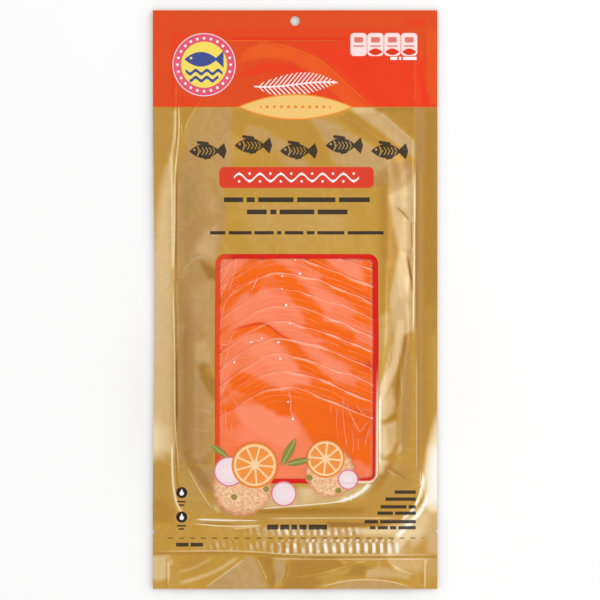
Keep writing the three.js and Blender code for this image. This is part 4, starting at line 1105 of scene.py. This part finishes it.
def lowerMaterial():
    paint, colour, _ = foilGround("lowerFoil")
    ink = 0.0
    # two black discs with a white drop, each over two short lines
    for centre in ((-70.9, -120.8), (-70.9, -136.1)):
        dx, dy = paint.offset(centre)
        disc = paint.inside(paint.length(dx, dy) - 3.5)
        tip = paint.inside(abs(dx) * 2.2 + dy - 2.4, 0.4) * paint.inside(dy * -1)
        drop = paint.most(paint.inside(paint.length(dx, dy + 0.5) - 1.35), tip)
        colour = paint.layers(colour, (disc, foil["charcoal"]), (drop * disc, foil["white"]))
        ink = paint.most(ink, disc)
    lines = paint.most(paint.bars([(-126.5, 1.0, -74, -68.4, (1,), 1)], 0.4), paint.bars(smallPrint, 0.35))
    # the dashed tear line
    dash = abs(paint.math("WRAP", paint.x + 79.5, 6.9, 0) - 1.6) - 1.5
    tear = paint.inside(paint.most(dash, abs(paint.y + 149.3) - 0.28)) * paint.inside(abs(paint.x) - 80)
    marks = paint.most(lines, tear)
    colour = paint.blend(marks * 0.93, colour, foil["charcoal"])
    printed, full = addGarnish(paint, colour)
    colour = paint.blend(full, colour, printed)
    ink = paint.most(paint.most(ink, marks * 0.85), full)
    # the bottom seal's crimp: ridges in the bump, with a painted white glint on each tooth and painted shade
    # between them, brightest to the right
    wobble = paint.noise(20, 1, 0.5) * 2.4
    rolled = paint.noise(6, 2, 0.5)
    toothGlints, gapShade, relief = 0.0, 0.0, 0.0
    for middle, half, pitch, lean, start, fade, end, gain, bright, high in crimp:
        ridge = paint.math("SINE", (paint.x + wobble) * (fullTurn / pitch) + paint.y * lean)
        here = paint.ease(abs(paint.y - middle), half, half * 0.45)
        here = here * paint.ease(paint.x, start, start + fade) * paint.ease(paint.x, end, end - 6)
        glow = paint.ease(ridge, 0, 0.65) * paint.ease(rolled + paint.x * gain, 0.3, 0.62)
        toothGlints = paint.most(toothGlints, glow * here * bright)
        gapShade = paint.most(gapShade, paint.ease(ridge, -0.35, -0.9) * here * bright)
        relief = relief + ridge * here * high
    bare = 1 - ink
    colour = paint.layers(colour, (gapShade * bare * 0.4, foil["deepGold"]), (toothGlints * bare, foil["flare"]))
    fine = paint.math("SINE", paint.y * (fullTurn / 1.5)) * paint.ease(abs(paint.y + 153), 6.5, 5)
    return foilFinish(paint, colour, ink, relief + fine * paint.ease(abs(paint.x), 76, 60) * 0.12)


for maker in (headerMaterial, titleMaterial, lowerMaterial):
    frontFilm.data.materials.append(maker())
middles = np.zeros(len(frontFilm.data.polygons) * 3, np.float32)
frontFilm.data.polygons.foreach_get("center", middles)
middleY = middles[1::3] / millimetre
regions = (middleY <= foil["headerEdge"]).astype(np.int32) + (middleY <= foil["lowerEdge"])
frontFilm.data.polygons.foreach_set("material_index", regions.astype(np.int32))
smoothShade(frontFilm, 50)
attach(frontFilm, "root")
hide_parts("pouch")
print("front film finished")


# back film: plain gold, lying on the surface

back = {"lift": 0.2, "uneven": (23, (60, 38, 22), 0.16), "seamHeight": 0.2, "seamWidth": 1.2, "gauge": 0.3}


def backZ(x, y):
    inside, high, wide = insideSeals(x, y), back["seamHeight"], back["seamWidth"]
    soft = back["lift"] + waves(x, y, *back["uneven"]) * inside
    seams = high * hump(x - pouch["leftSeal"], wide) + high * hump(x - pouch["rightSeal"], wide)
    return np.maximum(soft + seams * inside, 0)


def backMaterial():
    paint = Paint("backFoil")
    strain = paint.noise(22, 2, 0.5, stretch=(0.8, 1.2, 1))
    sides = paint.least(abs(paint.x - pouch["leftSeal"]), abs(paint.x - pouch["rightSeal"]))
    ends = paint.least(abs(paint.y - pouch["topSeal"]), abs(paint.y - pouch["bottomSeal"]))
    seams = paint.least(sides, ends)
    ribs = paint.math("SINE", paint.x * (fullTurn / 3.25)) * paint.ease(abs(paint.y + 150), 9, 6)
    colour = paint.layers(
        foil["gold"], (paint.ease(paint.noise(70, 2, 0.4) - 0.5, -0.4, 0.5) * 0.4, foil["paleGold"]),
        (paint.ease(strain, 0.62, 0.4) * 0.18, foil["deepGold"]),
        (paint.ease(seams, 0.9, 0.2) * 0.35, foil["deepGold"]))
    return foilFinish(paint, colour, 0.0, paint.ease(seams, 1.2, 0.2) * 0.4 + ribs * 0.2)


backFilm, x, y, bowedX, upper = makePouchSheet(
    "backFilm", [(-89, 6), (-78, 8), (-72, 60), (71, 8), (77, 6), (89, 0)],
    [(-181, 10), (-161, 10), (-140, 120), (160, 6), (167, 6), (181, 0)])
placePoints(backFilm, bowedX, y, backZ(x, y) + np.where(upper, back["gauge"], 0))
cutOutline(backFilm)
backFilm.data.materials.append(backMaterial())
smoothShade(backFilm, 50)
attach(backFilm, "root")
print("back film")


# the salmon: twelve thin slices shingled down the pouch

salmon = {
    **tints(
        pink=(255, 146, 106), orange=(249, 108, 0), deep=(226, 62, 22), pale=(255, 198, 168),
        blush=(252, 130, 84),
    ),
    "columns": 96, "rows": 14, "overlap": 0.08, "strokeBlur": 5.5, "rimOffset": 0.1, "thinnest": 0.25,
    "ripple": ((9, 5), 0.1), "edgeWaves": ((0.55, 9), (0.35, 4.1), (0.2, 2.2)),
    "edgeRows": (0, 0.02, 0.05, 0.09, 0.15, 0.23, 0.32, 0.42, 0.53, 0.64, 0.75, 0.86, 0.96, 1.06, 1.2),
    "bodyFrom": 1.6, "tailLead": 0.6, "tailRows": 2,
}

# orange and pink areas of the meat, as brush strokes: half width at each end, share, then the line
strokes = [
    (4, 7.5, 1, -43, -2, -37, 7, -31, 12, -26, 18),
    (4, 5.5, 0.9, -26, 7, -22, 15, -17, 22),
    (5, 6, 1, -17, 22, -9, 17, -1, 7, 6, 0, 12, -10),
    (5, 3.5, 1, 10, 25, 18, 20, 27, 13, 36, 7, 46, 0),
    (3, 4.5, 1, 21, 12, 31, 5, 42, -3, 49, -8),
    (2.6, 5, 1, 8, -17, 19, -22, 31, -29, 42, -33, 49, -37),
    (2.6, 4, 1, 18, -29, 29, -35, 41, -40, 49, -43),
    (2, 4, 0.9, -39, -23, -34, -19, -21, -17, -12, -22, -2, -30),
    (4, 6, 1, -2, -30, 4, -37, 11, -46, 19, -55),
    (3, 3, 0.7, 37, -43, 49, -48),
    (6, 7, 1.1, -34, -51, -21, -57, -7, -66),
    (8, 11, 1, 2, -60, 16, -65, 31, -72, 46, -80),
    (6, 9, 0.9, 3, -65, 11, -74, 19, -85),
    (2.5, 3, 0.5, -21, 11, -9, 11, 2, 7),
    (3, 5, 0.5, -43, -64, -37, -75),
    (3, 3, 0.6, -46, -2, -39, 5),
    (3, 3, 0.6, -46, -22, -40, -18),
    (3, 3.5, 0.9, 45, 22, 48, 10, 50, 0),
    (3, 3, 0.45, 2, 23, 6, 18),
    (3, 4, 0.55, 36, -10, 49, -15),
    (3, 3, 0.45, -36, -40, -31, -36),
    (5, 6, 0.8, 31, -62, 48, -65),
    (10, 9, 0.75, 31, -80, 42, -92, 48, -107),
    (5, 6, 0.3, -43, -88, -34, -107),
    (5, 8, -0.8, -31, -70, -19, -75, -7, -83),
    (4, 4, -0.6, -7, -50, 6, -49),
    (2.5, 3, -0.3, 10, 2, 21, -2, 32, -9),
    (9, 8, -0.35, -14, -30, -6, -42),
    (3, 3, -0.35, 19, -41, 29, -45),
    (6, 8, 0.4, 31, -64, 48, -92),
    (3, 3, -0.4, 23, 22, 38, 16),
    (2, 2, -0.3, -31, 21, -6, 23),
    (4, 4, 0.4, -44, 1, -44, -19, -43, -33),
    (4, 5, 0.55, -41, -58, -43, -65, -39, -75),
    (4, 5, 1, 14, -17, 24, -20, 32, -24),
    (4, 5, 0.9, 19, 11, 29, 6),
    (4, 4, 0.7, -19, 12, -8, 8),
    (4, 4, 0.7, 41, -53, 47, -55),
    (3, 4, 0.45, 26, -7, 34, -10),
    (5, 4, 0.6, -38, -63, -27, -64),
    (5, 5, 0.8, 16, -53, 24, -57, 22, -63),
    (4, 4, 0.8, 41, -10, 49, -13),
    (4, 4, -0.8, 39, -104, 47, -109),
    (6, 7, 0.9, 24, -58, 36, -61, 48, -65),
]
blur = salmon["strokeBlur"]
strokes = [(curve(line, 1), (start, end), share, blur) for start, end, share, *line in strokes]
# the line of the long fold across the middle slices
deepBand = curve((
    -40, -21, -35, -17.2, -28.8, -16, -20.6, -14.1, -15.6, -16, -10, -21, -3.1, -25.3, 1.9, -30.3, 6.9, -36.6,
    11.3, -44.1,
))


def sliceLength(number):
    return min(number + stack["rows"], stack["endRow"])


def tailWeight(number, row):
    return np.clip((sliceLength(number) - row + salmon["tailLead"]) / salmon["tailRows"], 0, 1)


def layerHeights(number, x, y):
    # underside and top of a slice where it lies, each slice stepping up onto the one above it
    row = np.maximum(rowAt(x, y), number)
    room = roomUnderFilm(x, y) - stack["floor"]
    top, part, dip = topSlice(row)
    weights = [tailWeight(k, row) * (k < top) for k in range(stack["count"])]
    total = np.maximum(sum(weights), 1e-6)
    share = (room - stack["step"]) / (total + 1)
    thick = lerp(np.minimum(stack["step"], share * 1.6), share, np.clip(part, 0, 1))
    rest = np.maximum(room - dip - thick, 0)
    low = np.where(number == top, rest, rest * sum(weights[:number]) / total)
    high = np.where(number == top, room - dip, low + rest * weights[number] / total - salmon["overlap"])
    return stack["floor"] + low * (number > 0), stack["floor"] + high


def toneOfMeat(x, y, offset):
    ground = -0.42 + 0.2 * easeStep((x - 12) / 30) + 0.12 * easeStep((-30 - x) / 14) + (offset - 0.5) * 0.2
    return ground + strokeTone(x, y, strokes, 0.55)


def edgeWave(x, number):
    phases = np.random.default_rng(100 + number).uniform(0, fullTurn, 3)
    return sum(high * np.sin(x / long + phase) for (high, long), phase in zip(salmon["edgeWaves"], phases))


def makeSlice(number):
    body = np.linspace(salmon["bodyFrom"], sliceLength(number) - number, salmon["rows"])
    offsets = np.array([*salmon["edgeRows"], *body])
    count = salmon["columns"]
    piece, column, row, upper = makeSheet(f"salmonSlice{number + 1:02d}", count, len(offsets) - 1)
    offset = offsets[len(offsets) - 1 - row]
    even = column / count
    even = lerp(even, 0.5 - 0.5 * np.cos(math.pi * even), 0.5)
    span = stack["endTuckRows"]
    tuck = stack["endTuck"] * easeStep((number + offset - stack["endRow"] + span) / span)
    x = lerp(stack["left"] + tuck, stack["right"] - tuck, even)
    y = rowY(x, number + offset) + edgeWave(x, number) * (1 - easeStep(offset))
    low, high = layerHeights(number, x, y)
    rim = np.clip(offset / salmon["rimOffset"], 0, 1)
    high = low + np.maximum(high - low, salmon["thinnest"]) * (0.3 + 0.7 * np.sqrt(1 - (1 - rim) ** 2))
    ripple = waves(x, y, 40 + number, *salmon["ripple"]) * np.clip(offset * 4, 0, 1) * (offset < 1.1)
    placePoints(piece, x, y, np.where(upper, high + ripple, low))
    gap, along, side = pathReach(x, y, deepBand)
    storeValues(piece, "meat", offset, toneOfMeat(x, y, np.minimum(offset, 1)), np.where(side < 0, -gap, gap))
    storeValues(piece, "band", between(along, 0, 1, 0.16), hump(gap, 6), hump(x - 47, 5) * hump(y + 41, 3))
    return piece


def meatMaterial():
    paint = Paint("smokedSalmon")
    offset, tone, side = paint.stored("meat")
    fold, near, rightEnd = paint.stored("band")
    fibre = paint.noise(5, 3, 0.55, stretch=(0.45, 1.7, 1))
    fine = paint.noise(1.3, 2, 0.6, stretch=(0.5, 1.5, 1))
    blotch = paint.noise(11, 2, 0.5, stretch=(0.8, 1.2, 1))
    level = tone + (fibre - 0.5) * 0.7 + (fine - 0.5) * 0.3 + (blotch - 0.5) * 0.5
    # pale lines of fat bow across the meat in step with the cut edges
    lines = paint.ease(paint.math("PINGPONG", offset + paint.noise(14, 1, 0.5) * 0.35, 0.17), 0.032, 0.0)
    lines = lines * paint.ease(fibre, 0.38, 0.6) * paint.ease(paint.y, -72, -56)
    lines = lines * (paint.ease(paint.x, -44, -8) * 0.25 + 0.2)
    # the long fold: a dark upper edge that fades downward through orange
    wobble = side + (fibre - 0.5) * 1.6
    below = paint.ease(wobble, -0.4, 0.3) * paint.ease(wobble, 7.5, 2) * fold * paint.ease(near, 0.15, 0.5)
    edge = paint.ease(abs(wobble - 0.3), 1.3, 0.2) * fold * paint.ease(near, 0.3, 0.6)
    edge = paint.most(edge * (paint.ease(paint.x, 2, -12) * 0.8 + 0.2) * 0.75, rightEnd * 0.8)
    # the pale cut edge, partly the meat's paler edge and partly a painted highlight along it, thicker in
    # places and stronger to the right
    thick = paint.ease(paint.noise(13, 1, 0.5), 0.4, 0.62) * 0.1 + 0.05
    rim = paint.ease((offset + (fine - 0.5) * 0.05) / thick, 1.25, 0.6)
    rim = rim * (paint.ease(paint.x + (fibre - 0.5) * 80, -40, 22) * 0.75 + 0.25)
    colour = paint.layers(
        salmon["pink"], (paint.ease(level, -0.75, -0.05), salmon["blush"]),
        (paint.ease(level, -0.12, 0.48), salmon["orange"]),
        (paint.ease(level, 0.55, 1.1) * 0.35, salmon["deep"]),
        (lines, salmon["pale"]), (below * 0.85, salmon["orange"]), (edge, salmon["deep"]),
        (rim * 0.72, salmon["pale"]))
    bump = paint.bump(0.5, fibre * 0.35 + fine * 0.12)
    more = {"Normal": bump, "Specular IOR Level": 0.08}
    return paint.finish(paint.surface(colour, fine * 0.2 + 0.28, more))


meat = meatMaterial()
for number in range(stack["count"]):
    piece = makeSlice(number)
    piece.data.materials.append(meat)
    smoothShade(piece, 60)
    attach(piece, "root")
    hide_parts(f"salmon_slice_{number + 1:02d}")
print("slices")


# window film: clear, drawn down onto the slices, with fine creases

clear = {
    **tints(
        white=(255, 250, 246), crease=(255, 210, 184), frame=(228, 20, 6), frameLeft=(235, 72, 20),
        glare=(255, 240, 206),
    ),
    "roughness": 0.16, "margin": 2.6, "thickness": 0.08, "columns": 151, "rows": 207, "frameWidth": 2.8,
    "corner": 3.4, "clearance": 0.22, "creaseWidth": 0.8, "creaseHeight": 0.3, "sag": (61, (13, 8), 0.1),
    "foilGap": 0.12, "ease": 4, "glintSizes": (0.4, 0.75, 0.55), "spread": (-1.4, -0.7, 0, 0.7, 1.4),
    "spreadFall": 0.12,
}
# creases in the film, from the fan in the upper left corner down to the lower right: strength, then the line
# their pale lines are partly whitened film and partly a painted highlight
creases = [
    # the fan of creases in the upper left corner
    (0.7, -36.5, 25.5, -38, 14.5, -41.5, 4.5),
    (0.7, -39.5, 23.5, -43, 16.5, -47, 9.5),
    (0.5, -43, 26, -45.5, 19.5, -47.5, 14.5),
    (0.5, -41.5, 14.5, -44, 7, -46.5, 1),
    (0.4, -34.5, 9.5, -39, 4.5, -42, -1.5),
    (0.4, -43, -0.5, -45, -8, -46.5, -15.5),
    # down the left side
    (0.7, -35, -19, -39, -21.5, -40, -26.5, -43, -28.5, -47, -27),
    (0.6, -40, -29, -42.5, -35.5, -44, -43),
    (0.55, -44.5, -44, -46.5, -53, -44.5, -61.5, -42, -65.5),
    (0.4, -40.5, -45.5, -43, -51.5, -45.5, -60.5),
    (0.4, -40, -59, -37, -64, -34, -69),
    (0.45, -43, -65.5, -43, -75.5, -42, -85.5),
    (0.4, -39.5, -75.5, -39, -85.5),
    (0.4, -30, -75.5, -29, -80.5),
    (0.7, -32, -28.5, -28, -25.5, -23, -26, -20, -24),
    (0.4, -39.5, -39, -35.5, -36.5, -30.5, -35.5),
    # in the middle and down the right side
    (1, -22.5, 14.5, -24.5, 10.5, -27, 5.5),
    (0.8, -4.5, -55.5, -2.5, -61.5, -3, -68, -1, -73.5, -2, -78),
    (0.7, -7, -55.5, -3, -55, 1, -55),
    (0.6, -17, -53, -12.5, -53.5),
    (0.6, 32, -61.5, 33, -68, 36.5, -75.5, 40, -82.5, 43, -79, 47, -74),
    (0.4, 30, -58.5, 29.5, -69, 30.5, -80.5, 32.5, -92.5),
    (0.3, 26.5, -63, 25.5, -75.5, 27, -88),
    (0.3, 22.5, -61.5, 22, -71.5),
    (0.35, 35, -79, 36.5, -88, 35.5, -95.5),
    (0.3, 39, -85.5, 39.5, -94),
    (0.5, 37.5, -65, 41.5, -70.5, 45.5, -73.5),
    (0.4, 40, -67.5, 44.5, -68.5, 49, -69),
    (0.7, 49.5, -73.5, 45.5, -81.5, 43, -91.5),
    (0.5, 49, -78.5, 48, -85.5, 46.5, -90.5),
    (0.6, 42.5, -105, 45.5, -107.5, 43, -110.5),
]
creases = [(curve(line, 1), strength) for strength, *line in creases]
# beads of moisture, each drawn as a small painted white glint of light
glintSpots = curve((
    0, 24.7, 3.1, 16, -7.8, 14.3, -8.1, 6.6, -5.6, -3.4, -3.1, -14.7, -0.6, -25.3, -10.2, -26.4, -9.4, -36.6,
    -20.3, -24.1, -27.2, -26.4, -37.5, -38.9, -4.4, -63.5, -1.3, -74, 47.6, -73.5,
), 0)


def filmRest(x, y):
    # the film lies on the highest slice near each point
    best = np.full(np.shape(x), -1e9)
    for dy in clear["spread"]:
        dip = topSlice(rowAt(x, y + dy))[2]
        best = np.maximum(best, roomUnderFilm(x, y + dy) - dip - clear["spreadFall"] * abs(dy))
    return best


windowFilm, column, row, upper = makeSheet("windowFilm", clear["columns"], clear["rows"])
halfX, halfY = window["width"] / 2, window["height"] / 2
x = window["x"] + (halfX + clear["margin"]) * (2 * column / clear["columns"] - 1)
y = window["y"] + (halfY + clear["margin"]) * (2 * row / clear["rows"] - 1)
border = np.minimum(halfX - abs(x - window["x"]), halfY - abs(y - window["y"]))
gap, strength, close = creaseField(x, y, creases)
raised = hump(gap, clear["creaseWidth"]) * strength * clear["creaseHeight"]
rest = filmRest(x, y) + clear["clearance"] + raised + waves(x, y, *clear["sag"])
held = foilZ(x, y) - pouch["gauge"] - clear["foilGap"]
z = lerp(held, np.minimum(rest, held), easeStep(border / clear["ease"]))
placePoints(windowFilm, x, y, z - np.where(upper, 0, clear["thickness"]))
storeValues(windowFilm, "crease", gap, strength, close)


def filmMaterial():
    paint = Paint("clearFilm")
    gap, strength, close = paint.stored("crease")
    thin = paint.noise(5, 2, 0.5) * 0.4 + 0.04
    crease = paint.math("MULTIPLY_ADD", abs(gap), -3.2, thin * 3.2 + 0.1, clamp=True)
    crease = crease * paint.ease(close, 0.2, 0.5) * strength
    ragged = (paint.noise(1.1, 2, 0.5) - 0.5) * 2.2
    # painted highlights: a small white glint of light on each bead of moisture
    beads = 0.0
    for number, centre in enumerate(glintSpots):
        radius = clear["glintSizes"][number % len(clear["glintSizes"])]
        beads = paint.most(beads, paint.inside(paint.disc(centre, radius) + ragged, 0.5))
    normal = paint.bump(0.3, paint.noise(6, 3, 0.55) * 0.4)
    facing = paint.node("LayerWeight", {}, {"Blend": 0.5, "Normal": normal}, "Facing")
    hollow = paint.node("BsdfTransparent", {}, {"Color": (1, 1, 1, 1)})
    polish = {"Color": clear["white"], "Roughness": clear["roughness"], "Normal": normal}
    gloss = paint.node("BsdfGlossy", {}, polish)
    sheet = paint.node("MixShader", {}, {0: facing ** 3 * 0.5 + 0.005, 1: hollow, 2: gloss})
    # the red frame line is printed along the window's rim, and light glares past it low on the right
    inner = (window["width"] - 2 * clear["frameWidth"], window["height"] - 2 * clear["frameWidth"])
    outward = paint.slab((window["x"], window["y"]), inner, clear["corner"])
    inward = outward * -1
    frameRed = paint.blend(paint.ease(paint.x, -46, -36), clear["frameLeft"], clear["frame"])
    printed, garnished = addGarnish(paint, frameRed)
    # painted shade: the frame red fades in over the meat inside the window's right edge
    shade = paint.ease(inward, 2.6, 0) * paint.ease(paint.x, 30, 46) * 0.3
    full = paint.most(garnished, paint.most(paint.inside(inward) * 0.93, shade))
    glare = paint.ease(outward, 0.7, 2) * paint.ease(paint.x - paint.y * 0.5, 70, 90) * (1 - garnished)
    printed = paint.blend(glare, printed, clear["glare"])
    # where nothing is printed the film takes the pale crease colour, shown along the creases as whitened film
    # with a painted highlight
    printed = paint.blend(paint.ease(full, 0, 0.3), clear["crease"], printed)
    printed = paint.blend(beads * (1 - full), printed, clear["white"])
    ink = paint.surface(printed, 0.4, {"Specular IOR Level": 0.2, "Normal": normal})
    share = paint.most(full, paint.most(beads, crease) * (1 - full) * 0.8)
    return paint.finish(paint.node("MixShader", {}, {0: share, 1: sheet, 2: ink}))


windowFilm.data.materials.append(filmMaterial())
smoothShade(windowFilm, 60)
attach(windowFilm, "root")
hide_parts("window_film")
print("window film")


# round sticker on the header

sticker = {
    **tints(pink=(228, 38, 82), rim=(250, 206, 218), yellow=(250, 222, 84), blue=(40, 62, 140)),
    "at": (-56.9, 146.9), "radius": 19.8, "cells": 56, "under": 0.1, "over": 0.32,
    "beads": 24, "beadRing": 16.6, "border": 19, "line": (18.7, 19.1), "disc": 14.4,
}
roundSticker, column, row, upper = makeSheet("roundSticker", sticker["cells"], sticker["cells"])
u, v = 2 * column / sticker["cells"] - 1, 2 * row / sticker["cells"] - 1
x = sticker["at"][0] + sticker["radius"] * u * np.sqrt(1 - v * v / 2)
y = sticker["at"][1] + sticker["radius"] * v * np.sqrt(1 - u * u / 2)
placePoints(roundSticker, x, y, foilZ(x, y) + np.where(upper, sticker["over"], sticker["under"]))


def stickerMaterial():
    paint = Paint("stickerPaper")
    dx, dy, far, angle = paint.polar(sticker["at"])
    # a ring of white beads between the rim and the yellow disc
    ring = sticker["beadRing"]
    around = paint.tiled(angle, math.pi / sticker["beads"]) * ring
    bead = paint.inside(paint.length(around, far - ring) - 0.85)
    # in the middle a blue fish over two waves
    mark = paint.inside(fishShape(paint, dx, dy - 3.4, (-2, 10.4, 4.6), (7.2, 0.6, 5, 0)))
    crest = paint.math("SINE", dx * (fullTurn / 7)) * 1.1
    for level, reach in ((-4.6, 11.6), (-9, 9)):
        wave = paint.inside(abs(dy - level - crest) - 1.05) * paint.inside(abs(dx) - reach, 0.4)
        mark = paint.most(mark, wave)
    eye = paint.inside(paint.length(dx + 8.2, dy - 4.2) - 0.8, 0.25)
    inner, outer = sticker["line"]
    line = paint.inside(inner - far, 0.2) * paint.inside(far - outer, 0.2)
    colour = paint.layers(
        sticker["pink"], (paint.noise(2.5, 3, 0.6) * 0.16, sticker["rim"]),
        (paint.inside(sticker["border"] - far), sticker["rim"]), (line, sticker["pink"]),
        (bead, foil["white"]),
        (paint.inside(far - sticker["disc"]), sticker["yellow"]), (mark * (1 - eye), sticker["blue"]))
    fibre = paint.noise(0.6, 2, 0.6)
    return paint.finish(paint.surface(colour, fibre * 0.15 + 0.32, {
        "Normal": paint.bump(0.3, fibre * 0.05), "Coat Weight": 0.3, "Coat Roughness": 0.2,
    }))


roundSticker.data.materials.append(stickerMaterial())
smoothShade(roundSticker, 50)
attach(roundSticker, "root")
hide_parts("round_sticker")
print("sticker")


# floor, light and camera

studio = {
    **tints(floor=(255, 255, 255), wash=(252, 252, 252)),
    "floorSize": 6, "floorAt": (0, 0, -0.0012), "floorRoughness": 0.9,
    "air": 0.92, "keyPower": 2.5, "keyAt": (0.98, 0.3, 0.78), "keySize": (0.7, 0.8),
    "lens": 200, "cameraAt": (0.0031, -0.0003, 2.087),
}


def addHolder(name, data, place):
    holder = bpy.data.objects.new(name, data)
    bpy.context.scene.collection.objects.link(holder)
    holder.location = place
    return holder


clearSelection()
bpy.ops.mesh.primitive_plane_add(size=studio["floorSize"], location=studio["floorAt"])
floor = bpy.context.object
floor.name = "floor"
paint = Paint("paleFloor")
wash = paint.blend(paint.noise(120, 2, 0.5), studio["floor"], studio["wash"])
floor.data.materials.append(paint.finish(paint.surface(wash, studio["floorRoughness"], {})))

world = bpy.data.worlds.new("studioAir")
bpy.context.scene.world = world
world.use_nodes = True
background = world.node_tree.nodes["Background"].inputs
background["Color"].default_value = (1, 1, 1, 1)
background["Strength"].default_value = studio["air"]

lamp = bpy.data.lights.new("sidePanel", "AREA")
lamp.shape, lamp.energy = "RECTANGLE", studio["keyPower"]
lamp.size, lamp.size_y = studio["keySize"]
panel = addHolder("sidePanel", lamp, studio["keyAt"])
panel.rotation_euler = (-Vector(studio["keyAt"])).to_track_quat("-Z", "Y").to_euler()

camera = bpy.data.cameras.new("camera")
camera.lens = studio["lens"]
bpy.context.scene.camera = addHolder("camera", camera, studio["cameraAt"])
bpy.context.scene.view_settings.view_transform = "Standard"
print("studio")
